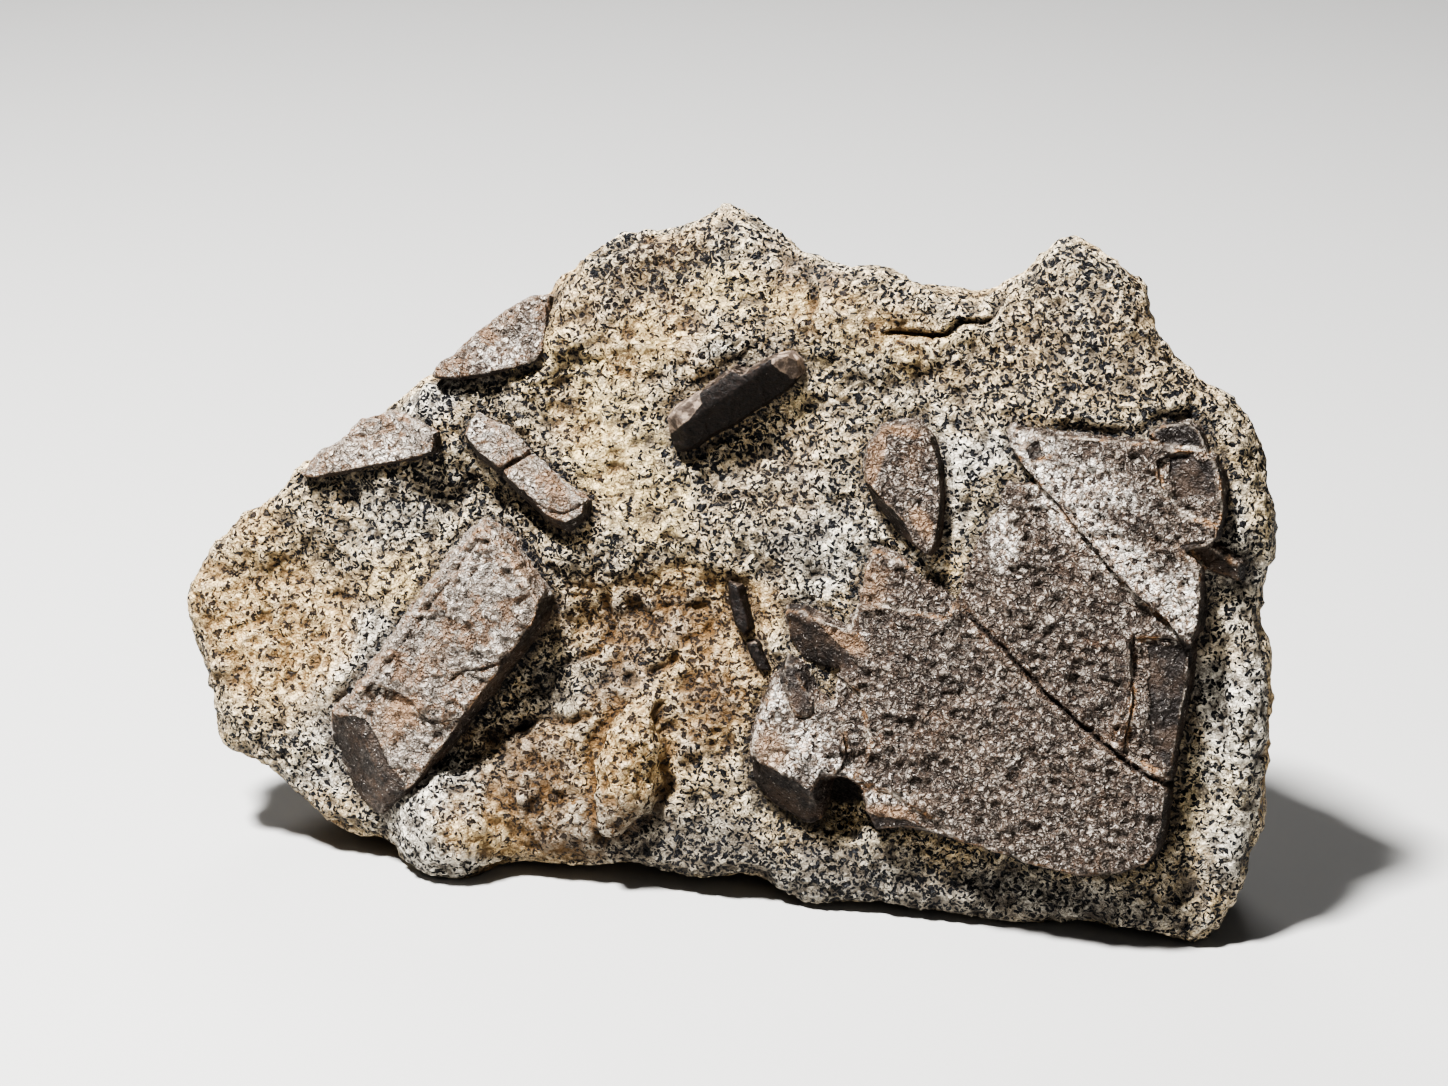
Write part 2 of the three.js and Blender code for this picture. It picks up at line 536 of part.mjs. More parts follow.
// A closed solid from rings of [u, v, h] points, front ring first. Each ring runs clockwise as
// seen from the front, and the two end rings are flat.
function ringSolid(rings) {
  const count = rings[0].length;
  const last = (rings.length - 1) * count;
  const faces = capFaces(rings[0]).flat();
  for (let i = 0; i < count; i++) {
    const next = (i + 1) % count;
    for (let r = 0; r + 1 < rings.length; r++) {
      const a = r * count;
      const b = a + count;
      faces.push(a + i, a + next, b + next, a + i, b + next, b + i);
    }
  }
  faces.push(...capFaces(rings.at(-1)).flatMap((face) => face.toReversed().map((i) => i + last)));
  const geometry = new THREE.BufferGeometry();
  geometry.setFromPoints(rings.flat().map(faceToPart));
  geometry.setIndex(faces);
  return toSolid(geometry);
}

function faceHeight(u, v, { over, h, alongU, alongV }) {
  return h + alongU * (u - over[0]) + alongV * (v - over[1]);
}

// One crystal's rings: its crown, the foot of its sides and the root buried in the schist.
function crystalRings({ crown, foot, face, root }) {
  const footOutline = foot ?? spread(crown, FLARE);
  const middle = [0, 1].map((k) => footOutline.reduce((s, p) => s + p[k], 0) / footOutline.length);
  const rootOutline = footOutline.map((p) => p.map(
    (x, k) => middle[k] + (x - middle[k]) * ROOT_SHRINK,
  ));
  return [
    crown.map(([u, v]) => [u, v, faceHeight(u, v, face)]),
    footOutline.map(([u, v]) => [u, v, FOOT_H]),
    rootOutline.map(([u, v]) => [u, v, root]),
  ];
}

// All that lies outside the plane through three points, seen from a point inside.
function outsideBlock(points, inside) {
  const [a, b, c] = points.map(faceToPart);
  const normal = b.clone().sub(a).cross(c.clone().sub(a)).normalize();
  if (normal.dot(inside.clone().sub(a)) > 0) normal.negate();
  const block = new THREE.BoxGeometry(BLOCK, BLOCK, BLOCK).translate(0, 0, BLOCK / 2);
  block.applyQuaternion(new THREE.Quaternion().setFromUnitVectors(
    new THREE.Vector3(0, 0, 1), normal,
  ));
  return toSolid(block.translate(a.x, a.y, a.z));
}

// The block of space over a step, down to its floor.
function stepBlock({ outline, drop }, face) {
  const area = THREE.ShapeUtils.area(outline.map(([u, v]) => new THREE.Vector2(u, v)));
  const ring = area > 0 ? outline.toReversed() : outline;
  return ringSolid([
    ring.map(([u, v]) => [u, v, face.h + BLOCK / 4]),
    ring.map(([u, v]) => [u, v, faceHeight(u, v, face) - drop]),
  ]);
}

function crystalSolid(crystal) {
  const { face, cuts = [], steps = [] } = crystal;
  const inside = faceToPart([...face.over, -1]);
  const blocks = [
    ...cuts.map((cut) => outsideBlock(cut, inside)),
    ...steps.map((step) => stepBlock(step, face)),
  ];
  return blocks.reduce((solid, block) => solid.subtract(block), ringSolid(crystalRings(crystal)));
}

// The socket that a crystal sits in: the crystal with the gap all round, open to the front.
function socketSolid(crystal) {
  const [crown, foot, root] = crystalRings(crystal).map((ring) => {
    const wider = spread(ring, SOCKET_GAP);
    return wider.map(([u, v], i) => [u, v, ring[i][2]]);
  });
  return ringSolid([
    crown.map(([u, v, h]) => [u, v, h + SOCKET_LIFT]),
    crown.map(([u, v, h]) => [u, v, h + SOCKET_GAP]),
    foot,
    root.map(([u, v, h]) => [u, v, h - SOCKET_GAP]),
  ]);
}

function makeMesh(name, solid, material) {
  const mesh = new THREE.Mesh(toGeometry(solid), material);
  mesh.name = name;
  return mesh;
}

function makeSpecimen() {
  const group = new THREE.Group();
  const clusterParts = Object.values(CLUSTER);
  const sockets = [...Object.values(CRYSTALS), ...clusterParts].map(socketSolid);
  const carved = sockets.reduce((stone, socket) => stone.subtract(socket), makeStone());
  // Cutting the sockets can leave loose slivers, which are dropped.
  const [schist] = carved.decompose().sort((a, b) => b.volume() - a.volume());
  group.add(makeMesh("schist_matrix", schist, MATERIALS.schist));
  for (const [name, crystal] of Object.entries(CRYSTALS)) {
    const material = DARK_CRYSTALS.includes(name) ? MATERIALS.darkCrystal : MATERIALS.crystal;
    group.add(makeMesh(name, crystalSolid(crystal), material));
  }
  const cluster = clusterParts.map(crystalSolid).reduce((sum, plate) => sum.add(plate));
  group.add(makeMesh("staurolite_plate_cluster", cluster, MATERIALS.crystal));

  // The origin is under the middle of the stone, on the surface that it stands on.
  const box = new THREE.Box3().setFromObject(group);
  const middle = box.getCenter(new THREE.Vector3());
  group.position.set(-middle.x, -middle.y, -box.min.z);
  return group;
}

export default makeSpecimen();
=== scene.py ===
"""Looks of a hand specimen: speckled pale mica schist with brown staurolite crystals."""
import math

import bmesh
import bpy
import numpy as np
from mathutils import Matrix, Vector
from mathutils.bvhtree import BVHTree


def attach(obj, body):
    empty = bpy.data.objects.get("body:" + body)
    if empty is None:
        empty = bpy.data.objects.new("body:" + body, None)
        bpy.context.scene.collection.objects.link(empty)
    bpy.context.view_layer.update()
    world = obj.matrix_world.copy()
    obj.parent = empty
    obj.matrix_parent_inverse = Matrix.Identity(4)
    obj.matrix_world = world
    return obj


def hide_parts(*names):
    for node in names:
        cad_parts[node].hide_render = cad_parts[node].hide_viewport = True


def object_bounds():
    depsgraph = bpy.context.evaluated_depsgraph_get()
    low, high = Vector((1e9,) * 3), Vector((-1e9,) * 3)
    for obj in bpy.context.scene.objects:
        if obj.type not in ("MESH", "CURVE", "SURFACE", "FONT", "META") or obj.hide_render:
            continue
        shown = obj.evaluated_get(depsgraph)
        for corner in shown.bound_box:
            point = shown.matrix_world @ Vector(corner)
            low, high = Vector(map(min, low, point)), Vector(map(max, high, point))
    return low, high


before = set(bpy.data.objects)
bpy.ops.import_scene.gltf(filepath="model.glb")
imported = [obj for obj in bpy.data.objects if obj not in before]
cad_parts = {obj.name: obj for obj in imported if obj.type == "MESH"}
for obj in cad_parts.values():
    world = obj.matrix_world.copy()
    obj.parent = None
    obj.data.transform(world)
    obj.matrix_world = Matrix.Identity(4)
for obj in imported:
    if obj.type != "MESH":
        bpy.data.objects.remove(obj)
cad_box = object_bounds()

MM = 0.001

# The crystal face leans back. Places on it are [u, v] in mm: u to the right and v up the face,
# with h standing out of it.
LEAN = math.radians(12)
FACE_ORIGIN = np.array([-0.7395, -19.9546, 0.0])
FACE_U = np.array([1.0, 0.0, 0.0])
FACE_V = np.array([0.0, math.sin(LEAN), math.cos(LEAN)])
FACE_H = np.array([0.0, -math.cos(LEAN), math.sin(LEAN)])

# The photograph's view.
CAMERA_TURN = math.radians(13.714)
CAMERA_RISE = math.radians(20)
CAMERA_DISTANCE = 500.0
CAMERA_TARGET = np.array([-1.12, 4.05, 46.4])
CAMERA_LENS = 85.0
CAMERA_SENSOR = 36.0

SCHIST = "schist_matrix"
DARK_CRYSTALS = ["staurolite_black_blade", "staurolite_upper_lath", "staurolite_lower_lath"]
LARGE_CRYSTALS = ["staurolite_plate_cluster", "staurolite_left_blade"]
CRYSTALS = [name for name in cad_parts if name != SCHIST]

# How much silvery mica lies on a crystal, where it isn't 1.
SILVER = {"staurolite_plate_cluster": 0.56, "staurolite_left_blade": 1.3,
          "staurolite_bar": 1.45, "staurolite_six_sided_crystal": 0.5,
          "staurolite_lower_rim_blade": 1.2}
# How coarse a crystal's relief is, where it isn't 1.
COARSE = {"staurolite_left_blade": 0.95, "staurolite_bar": 0.45,
          "staurolite_six_sided_crystal": 0.5, "staurolite_lower_rim_blade": 0.7,
          "staurolite_upper_rim_blade": 0.7}

# Surface resolution, in mm.
SKIN_VOXEL = 1.05
CRYSTAL_VOXEL = 0.36
SMALL_CRYSTAL_VOXEL = 0.26
LATH_VOXEL = 0.2
FLOOR_CLEARANCE = 0.02

# How the schist's skin lies under the crystals, in mm.
SOCKET_FILL = 0.4
FRONT_DEPTH = 9.0
ROOT_DEPTH = 7.0
CRYSTAL_REACH = 3.0
FAR_AWAY = 9.0
COVERED_WITHIN = 0.75
COVERED_DROP = 3.5
BASE_BAND = 0.6

# Heights of the schist's relief, in mm.
SWELL_HEIGHT = 1.3
LUMP_HEIGHT = 0.72
GRAIN_HEIGHT = 0.3
CURL_HEIGHT = 0.3
RIDGE_HEIGHT = 0.5
PIT_DEPTH = 0.7
SHEET_HEIGHT = 2.0
SHEET_THICKNESS = 6.5

# Heights of the crystals' relief, in mm.
CRYSTAL_SWELL = 0.14
CRYSTAL_LUMP = 0.75
CRYSTAL_CURL = 0.5
CRYSTAL_GRAIN = 0.3
HOLE_DEPTH = 0.2
CHIP_DEPTH = 0.4

# The side the light comes from: crystal flanks that face it get the least painted shade.
LIT_SIDE = 0.85 * FACE_V - 0.5 * FACE_U

# The stage. A light is its name, place and width in metres, and power in watts.
LIGHTS = [
    ("key", (-0.22, -0.26, 0.85), 0.12, 31.0),
    ("fill", (0.75, -0.75, 0.40), 0.8, 1.0),
    ("back", (-0.25, 0.7, 0.75), 0.4, 3.5),
]
LIGHT_TARGET = (0, 0, 0.045)
FLOOR_REACH = 6.0
FLOOR_PAPER = (0.42, 0.415, 0.405)
FLOOR_ROUGHNESS = 0.9
SKY = (0.93, 0.95, 1.0)
SKY_STRENGTH = 0.06

# Colours of the schist, as linear red, green and blue.
FELDSPAR_DARK = (0.66, 0.49, 0.28)
FELDSPAR_LIGHT = (0.84, 0.69, 0.45)
QUARTZ = (0.96, 0.86, 0.68)
PALE_QUARTZ = (0.96, 0.90, 0.78)
GOLDEN_VEIL = (0.76, 0.54, 0.25)
GOLDEN_SPOT = (0.93, 0.71, 0.36)
OCHRE_DARK = (0.50, 0.32, 0.14)
OCHRE_LIGHT = (0.91, 0.69, 0.38)
RUST_DARK = (0.13, 0.072, 0.036)
RUST_LIGHT = (0.36, 0.21, 0.095)
GREY_SCHIST_AND_SHADE = (0.19, 0.175, 0.15)
GAP_AND_SHADE_GREY = (0.12, 0.10, 0.08)
GAP_AND_SHADE_BROWN = (0.15, 0.08, 0.03)
CREST_HIGHLIGHT = (0.95, 0.86, 0.70)
BIOTITE = (0.008, 0.008, 0.010)
RUSTY_BIOTITE = (0.05, 0.03, 0.016)
CONTACT_SHADE = (0.07, 0.055, 0.045)
RECESS_SHADE = (0.02, 0.015, 0.011)

# Colours of the brown crystals and of what lies on them.
BODY_DARK = (0.085, 0.061, 0.047)
BODY_LIGHT = (0.175, 0.13, 0.10)
BODY_RED = (0.17, 0.108, 0.07)
FROST_AND_HIGHLIGHT = (0.76, 0.675, 0.58)
BRIGHT_CURL = (0.78, 0.72, 0.65)
DARK_CURL = (0.05, 0.033, 0.024)
SPECK = (0.90, 0.85, 0.79)
MOTTLE = (0.26, 0.155, 0.09)
LINE_BROWN = (0.035, 0.024, 0.018)
LINE_RED = (0.10, 0.045, 0.018)
CRYSTAL_MICA = (0.02, 0.015, 0.012)
HOLLOW_SHADE = (0.025, 0.017, 0.012)
COAT_DARK = (0.50, 0.38, 0.29)
COAT_LIGHT = (0.90, 0.84, 0.76)
COAT_DOT = (0.04, 0.03, 0.025)
SEAM_RUST = (0.22, 0.12, 0.06)
SEAM_BLACK = (0.022, 0.014, 0.010)
RUBBED_BROWN = (0.40, 0.225, 0.11)
PALE_RUB_AND_HIGHLIGHT = (0.72, 0.63, 0.53)
TAN_PATCH = (0.40, 0.265, 0.17)
TAN_LINE = (0.12, 0.065, 0.035)
BROKEN_AND_SHADED_BLACK = (0.010, 0.007, 0.006)
BROKEN_AND_SHADED_BROWN = (0.045, 0.029, 0.020)
BROKEN_SPECK = (0.50, 0.46, 0.42)

# Colours of the black crystals.
BLACK_DARK = (0.008, 0.006, 0.005)
BLACK_LIGHT = (0.022, 0.015, 0.012)
RIND_DARK = (0.10, 0.075, 0.06)
RIND_LIGHT = (0.34, 0.26, 0.20)
WORN_BLACK = (0.20, 0.12, 0.075)
SPARKLE = (0.30, 0.29, 0.28)

# Stains of the schist: [u, v], half-lengths along and across, turn in degrees, strength.
OCHRE = [
    ([-68, 34], [13, 15], 70, 0.75), ([-57, 36], [9, 8], 40, 0.6), ([-69, 48], [9, 5], 40, 0.5),
    ([-46, 44], [10, 4], 50, 0.35), ([-17, 66], [14, 6], -60, 0.5), ([-8, 56], [9, 5], -70, 0.3),
    ([-8, 80], [10, 6], 20, 0.55), ([14, 88], [9, 6], -20, 0.55), ([27, 82], [9, 5], 0, 0.6),
    ([44, 84], [12, 6], 10, 0.3), ([-22, 82], [10, 8], 30, 0.4), ([-20, 13], [13, 9], 10, 1.2),
    ([-10, 20], [7, 13], -12, 0.75), ([3, 31], [9, 12], 10, 0.85), ([-10, 90], [12, 5], 30, 0.5),
    ([-6, 42], [17, 8], 10, 1.0), ([12, 62], [9, 6], 30, 0.3), ([60, 85], [8, 6], -30, 0.3),
    ([-30, 62], [8, 4], -40, 0.2),
]
RUST = [
    ([-11, 36], [9, 6], 70, 0.9), ([-4, 42], [8, 4], 10, 0.7), ([2, 29], [6, 7], 0, 0.9),
    ([-24, 16], [9, 8], 30, 0.85), ([-18, 9], [12, 5], 0, 0.7), ([-2, 40], [12, 5], 10, 0.7),
    ([14, 91], [7, 4], -20, 0.7), ([-24, 86], [7, 5], 40, 0.35), ([-16, 38], [8, 8], 0, 0.5),
    ([-29, 81], [6, 5], 30, 0.3),
]
PALE = [
    ([-50, 26], [8, 14], -20, 0.9), ([-58, 14], [9, 4], 0, 0.6), ([-38, 70], [9, 4], 45, 0.8),
    ([3, 81], [11, 3], 15, 0.9), ([39, 68], [7, 4], 0, 0.9), ([77, 40], [6, 36], 0, 1.3),
    ([40, 5], [36, 4], -2, 0.7), ([5, 9], [14, 5], 0, 0.3), ([16, 54], [12, 8], 0, 0.6),
    ([-36, 8], [11, 10], 0, 1.2), ([-10, 60], [6, 12], 20, 1.0), ([33, 62], [7, 12], 0, 0.6),
    ([14, 47], [8, 5], 0, 0.9), ([-44, 52], [10, 6], 30, 0.5), ([75, 78], [8, 8], 0, 0.4),
]
DENSE = [
    ([-30, 54], [10, 6], 30, 0.7), ([-24, 42], [6, 12], 10, 0.9), ([-34, 24], [8, 10], 40, 0.8),
    ([-24, 50], [8, 6], 0, 0.8), ([66, 80], [10, 5], -40, 0.6), ([-12, 50], [8, 5], 0, 0.4),
    ([10, 62], [10, 8], 0, 0.5), ([20, 6], [30, 3], 0, 0.6), ([-28, 72], [10, 3], 20, 0.7),
    ([-45, 58], [10, 3], 10, 0.8), ([73, 60], [5, 12], 0, 0.3), ([10, 96], [20, 3], -20, 0.3),
    ([52, 78], [16, 5], 0, 0.5), ([-8, 42], [14, 7], 10, 0.7), ([-8, 90], [10, 5], 20, 0.9),
    ([2, 66], [9, 4], 35, 0.6), ([2, 32], [7, 8], 0, 0.6), ([52, 90], [10, 7], 0, 0.6),
    ([-24, 16], [8, 7], 0, 0.5),
]
# Grey places of the schist; those low along the bottom darken it as painted shade.
GREY = [
    ([24, 4], [34, 7], -2, 1.0), ([56, 6], [18, 6], 0, 0.9), ([-4, 7], [17, 7], 0, 1.2),
    ([-22, 5], [7, 5], 0, 0.6), ([-27, 45], [6, 12], 20, 0.7), ([-22, 15], [7, 12], 0, 0.6),
    ([-22, 30], [7, 9], 40, 0.7), ([0, 10], [12, 6], 0, 0.5), ([-14, 34], [8, 5], -30, 0.6),
    ([22, 80], [16, 5], -10, 0.4), ([-30, 70], [8, 3], 10, 0.5), ([-14, 44], [9, 6], 20, 0.5),
    ([-36, 20], [6, 10], 40, 0.5), ([-40, 58], [12, 3], 10, 0.6), ([-10, 88], [12, 6], 20, 0.5),
    ([6, 62], [9, 5], 20, 0.5), ([58, 82], [14, 6], -20, 0.4), ([13, 55], [4, 4], 0, 0.6),
]

# Bright golden places of the schist.
GOLD = [
    ([-12, 62], [13, 7], -60, 1.2), ([-21, 74], [11, 5], -60, 0.8), ([3, 89], [12, 5], 0, 0.7),
    ([25, 82], [12, 4], 0, 0.7), ([4, 34], [4, 8], 10, 0.2), ([-68, 40], [7, 14], 0, 0.25),
    ([-10, 82], [8, 5], 20, 0.5), ([-46, 44], [9, 4], 50, 0.5), ([14, 74], [8, 4], 20, 0.4),
    ([78, 62], [4, 12], 0, 0.5), ([76, 24], [5, 10], 0, 0.4),
]

# Clouds of four of the stains on the sides that the photo doesn't show: size in mm, seed, gain,
# start and greatest strength.
OCHRE_CLOUDS = (26, 41, 1.6, 0.35, 0.65)
RUST_CLOUDS = (18, 47, 2.0, -0.4, 0.5)
DENSE_CLOUDS = (20, 53, 2.0, 0.0, 0.7)
GREY_CLOUDS = (30, 57, 1.5, 0.0, 0.6)

# Painted shade: where the schist is painted black, in a cavity and in a strip under the arm:
# strength and outline.
CAVITY = [
    (1.0, [(17.8, 19.8), (19.6, 22.2), (24, 21.4), (24.8, 18.2), (22.8, 15.6), (19.2, 15.2)]),
    (0.7, [(7.6, 20), (10, 17.6), (13, 15.5), (17, 14), (20.6, 13.6), (20, 11.8), (15, 12),
           (9, 15)]),
]

# The pinkish rind on the broken black blade's ends.
RINDS = [
    [(-8, 70.4), (-6, 71.6), (-2.6, 73.6), (-0.9, 74.4), (-0.4, 72.4), (-1.9, 70.4),
     (-3.7, 68.8), (-5.4, 67.4), (-7.5, 66.5)],
    [(9.4, 78.8), (10, 81.6), (14, 81), (14, 77), (11.6, 76.8), (10.6, 77.8)],
]

# Cracks and grooves of the schist: width and depth in mm, then the line they follow.
GROOVES = [
    (0.7, 1.6, [(24.6, 84), (29, 84.1), (33.2, 84.6), (35, 86), (37.8, 86.6), (39, 88),
                (40.2, 90)]),
    (1.2, 1.6, [(-18, 92), (-16, 93.4), (-13.6, 94.6)]),
    (0.8, 0.6, [(2, 58.7), (4, 59.6), (6.4, 59.4), (8, 58.3)]),
    (0.9, 0.35, [(-12, 35), (-9, 37.4), (-8, 40.6), (-5, 42.6), (0, 42.8)]),
    (1.0, 0.8, [(-7, 33), (-4, 34.6), (-2.2, 37.6), (0.6, 39)]),
    (0.7, 0.7, [(12.6, 91.5), (14.4, 88.6), (13.8, 85), (15.4, 82)]),
    (1.7, 1.5, [(-5, 28), (-3.6, 23), (-3.2, 17), (-5.6, 12), (-9.6, 8.6), (-13, 7.6)]),
    (1.8, 1.6, [(-11.6, 28.4), (-14, 25), (-15.4, 20), (-15.4, 14), (-13.6, 8.6)]),
    (1.2, 0.9, [(-29, 22), (-24, 24.4), (-19, 24.6), (-16, 26)]),
    (1.0, 0.9, [(-20, 33), (-15.6, 35), (-13.4, 39), (-14.6, 43)]),
]

# Seams and cracks of the crystals, in the same form.
SEAMS = [
    (0.45, 0.9, [(31, 51.3), (36.8, 47.6), (40.9, 44), (44.7, 40.8), (50.1, 36.1), (57.2, 30.9),
                 (63.3, 26.8), (70, 24)]),
    (0.35, 0.25, [(45, 66.4), (50.8, 61.4), (56, 56), (61.1, 51.3), (66.3, 47.6), (71.5, 43.5)]),
    (0.35, 0.5, [(-35.6, 29.8), (-33.6, 31.4), (-31, 31.6), (-27.6, 33.6)]),
    (0.4, 0.6, [(-31, 59.4), (-29, 61.4), (-25.4, 63.6)]),
    (0.3, 0.4, [(62, 45), (62.6, 40), (61.6, 34), (60, 29.4)]),
    (0.3, 0.45, [(-48.9, 25.9), (-40.9, 37.8), (-32.3, 50.6)]),
    (0.3, 0.4, [(-26.4, 57.8), (-22.6, 55.4), (-20, 55.2), (-17.4, 56.8)]),
]

# Dark faces of the crystals, partly fresh breaks and partly painted shade on sides facing away
# from the light: strength and outline.
FRESH_AND_SHADED = [
    (1.0, [(-54.5, 22.6), (-48.6, 23.2), (-42.0, 13.8), (-45.4, 8.2), (-50, 9), (-55, 17)]),
    (1.0, [(12.6, 45), (16.3, 44.6), (19.5, 40.6), (22.2, 38.6), (24.2, 36.6), (22, 35.6),
           (17, 36), (13.6, 39.4)]),
    (1.0, [(11.8, 37), (14.1, 37.3), (16.6, 33.8), (18.2, 29.6), (15.7, 28.8), (13.3, 32.6)]),
    (1.0, [(8.2, 22.6), (12, 21.6), (15, 20.2), (18.2, 18.4), (19.4, 14), (17, 12), (12, 13),
           (8, 16)]),
    (1.0, [(17.8, 18.8), (19.2, 21.8), (23.2, 21.6), (24, 19.6), (22.6, 17), (20, 15), (19, 13)]),
    (0.9, [(25.6, 16.4), (28, 16), (31.5, 16.2), (36.5, 14.8), (40, 13.6), (38, 11), (26, 11.5)]),
    (0.85, [(64.4, 43.6), (69.9, 44.8), (69.4, 36), (68.4, 27), (66.4, 28), (64.8, 34)]),
    (0.6, [(59.4, 42.6), (61.4, 43), (62.2, 36), (60.6, 35.4)]),
    (0.8, [(64.6, 70.6), (71.6, 70), (72, 64.6), (67, 64)]),
    (0.8, [(61.4, 73.2), (66, 74.8), (69.6, 74.4), (70, 71.6), (64.6, 71.4)]),
    (0.9, [(45.2, 69.6), (46.2, 70.7), (47.6, 70.4), (48.1, 68.8), (47, 67.6), (45.6, 68.2)]),
    (0.75, [(67, 59), (70.4, 58.6), (76.4, 54.8), (76, 53), (71, 55)]),
    (1.0, [(22.4, 62.6), (25, 61), (28, 57.8), (31, 54.4), (31.4, 52.6), (28, 53), (24.4, 55.4),
           (22, 58.6)]),
]

# Tan patches and white coats of schist on the crystals, in the stains' form.
TAN = [
    ([21.5, 40.6], [4, 2], -20, 0.95), ([29.6, 66.4], [2.6, 4.6], 10, 0.45),
    ([24.3, 67], [1.3, 5], -12, 0.9), ([31.5, 58], [1.6, 3], 20, 0.8),
    ([30, 17], [5, 1.8], 0, 0.7), ([28, 71], [4, 1], 0, 0.8), ([25, 49], [3.5, 4], 0, 0.6),
    ([-43, 24], [4, 7], -30, 0.6), ([-38, 33], [5, 3], 40, 0.45), ([-47, 31], [5, 2], 50, 0.5),
    ([-26, 49], [2, 7], 33, 0.8), ([-31, 58], [4, 1.4], -45, 0.7),
    ([-25.5, 60.5], [3, 1.5], -45, 0.5), ([71, 56.6], [5, 2], -25, 0.7),
    ([34, 19], [4, 3], 0, 0.4), ([12, 25], [3, 5], 10, 0.65), ([-32, 82], [7, 3], 25, 0.4),
    ([-52, 63], [6, 3], 15, 0.35),
]
COAT = [
    ([-33, 47], [6, 5], 40, 0.5), ([16, 25], [6, 4], 30, 0.9), ([11, 30], [3, 6], -20, 0.7),
    ([22, 22], [5, 3], 0, 0.6), ([29, 19], [4, 2], 0, 0.7), ([52, 62], [9, 3.5], -45, 0.9),
    ([60, 56], [9, 4], -40, 0.9), ([68, 50], [4, 5], 0, 0.8), ([42, 58], [3, 7], 10, 0.7),
    ([44, 71], [8, 2.5], 0, 0.8), ([-34, 66], [3, 3], 0, 0.8), ([-48, 61], [9, 3], 10, 0.6),
    ([-30, 77], [6, 3], 0, 0.5), ([54, 66], [9, 4], -10, 0.6), ([26, 66], [3, 3], 0, 0.4),
    ([33, 46], [8, 2], -40, 0.3),
]


# Noise

HASH_X = 374761393
HASH_Y = 668265263
HASH_Z = 1274126177
HASH_SEED = 974634777
HASH_STIR = 1103515245


def hash01(cell, seed):
    """A number from 0 to 1 for each integer cell."""
    x, y, z = (cell[:, k].astype(np.int64) for k in range(3))
    n = (x * HASH_X + y * HASH_Y + z * HASH_Z + seed * HASH_SEED) & 0xFFFFFFFF
    n = ((n ^ (n >> 13)) * HASH_STIR) & 0xFFFFFFFF
    n = ((n ^ (n >> 16)) * HASH_Y) & 0xFFFFFFFF
    return ((n ^ (n >> 15)) & 0xFFFFFF) / float(0x1000000)


def smooth_noise(points, size, seed=0):
    """Value noise from -1 to 1 with lumps of about this size, in the points' own unit."""
    q = points / size
    base = np.floor(q)
    f = q - base
    f = f * f * (3 - 2 * f)
    total = np.zeros(len(points))
    for corner in np.ndindex(2, 2, 2):
        weight = np.prod(np.where(corner, f, 1 - f), axis=1)
        total += weight * hash01(base + corner, seed)
    return total * 2 - 1


def layered_noise(points, size, seed=0, layers=3):
    """Value noise with finer layers on it, each half as large and half as strong."""
    total, weight, reach = 0, 1.0, 0.0
    for layer in range(layers):
        total = total + weight * smooth_noise(points, size / 2 ** layer, seed + layer)
        reach += weight
        weight *= 0.5
    return total / reach


def cell_distance(points, size, seed=0):
    """Distance to the nearest and the next nearest scattered point, in cells."""
    q = points / size
    base = np.floor(q)
    near = np.full(len(points), 9.0)
    next_near = np.full(len(points), 9.0)
    for step in np.ndindex(3, 3, 3):
        cell = base + step - 1
        spot = cell + np.stack([hash01(cell, seed + k) for k in range(3)], axis=1)
        d = np.linalg.norm(q - spot, axis=1)
        next_near = np.minimum(next_near, np.maximum(near, d))
        near = np.minimum(near, d)
    return near, next_near


def ease(x):
    """x held to 0 and 1, with soft ends."""
    x = np.clip(x, 0, 1)
    return x * x * (3 - 2 * x)


def grain_relief(mm, size, seed, warp_size, warp_seed, gap):
    """Grains of this size in mm with gaps between them, from -0.6 to 0.4."""
    warped = mm + 0.5 * layered_noise(mm, warp_size, warp_seed)[:, None]
    near, next_near = cell_distance(warped, size, seed)
    return np.clip(next_near - near, 0, gap) / gap - 0.6


def curl_relief(mm, size, seed, layers, steep):
    """Curled ridges with this many mm between their bends, from 0 to 1."""
    return np.clip(1 - np.abs(layered_noise(mm, size, seed, layers)) * steep, 0, 1)


# Places

def to_face(points):
    """Part coordinates in metres to [u, v, h] in mm."""
    q = points / MM - FACE_ORIGIN
    return np.stack([q @ FACE_U, q @ FACE_V, q @ FACE_H], axis=1)


def ragged(face, reach, size, seeds, layers=3):
    """[u, v] of each point, moved by up to reach mm, which tears the outlines read there."""
    sway = np.stack([layered_noise(face, size, seed, layers) for seed in seeds], axis=1)
    return face[:, :2] + reach * sway


def blobs(face, spots, seed, tear=6.0):
    """How strongly the stains in a list lie on each point, torn by tear mm."""
    place = ragged(face, tear, 7, (seed, seed + 11))
    total = np.zeros(len(face))
    for middle, size, turn, strength in spots:
        angle = math.radians(turn)
        offset = place - middle
        along = offset[:, 0] * math.cos(angle) + offset[:, 1] * math.sin(angle)
        across = offset[:, 1] * math.cos(angle) - offset[:, 0] * math.sin(angle)
        d2 = (along / size[0]) ** 2 + (across / size[1]) ** 2
        total = np.maximum(total, strength * np.exp(-0.9 * d2 ** 1.4))
    return total


def stain(face, mm, facing, spots, seed, clouds):
    """A stain's strength: its spots on the front, and loose clouds on the other sides."""
    size, cloud_seed, gain, start, most = clouds
    strength = ease(layered_noise(mm, size, cloud_seed) * gain + start)
    return np.maximum(blobs(face, spots, seed) * facing, (1 - facing) * strength * most)


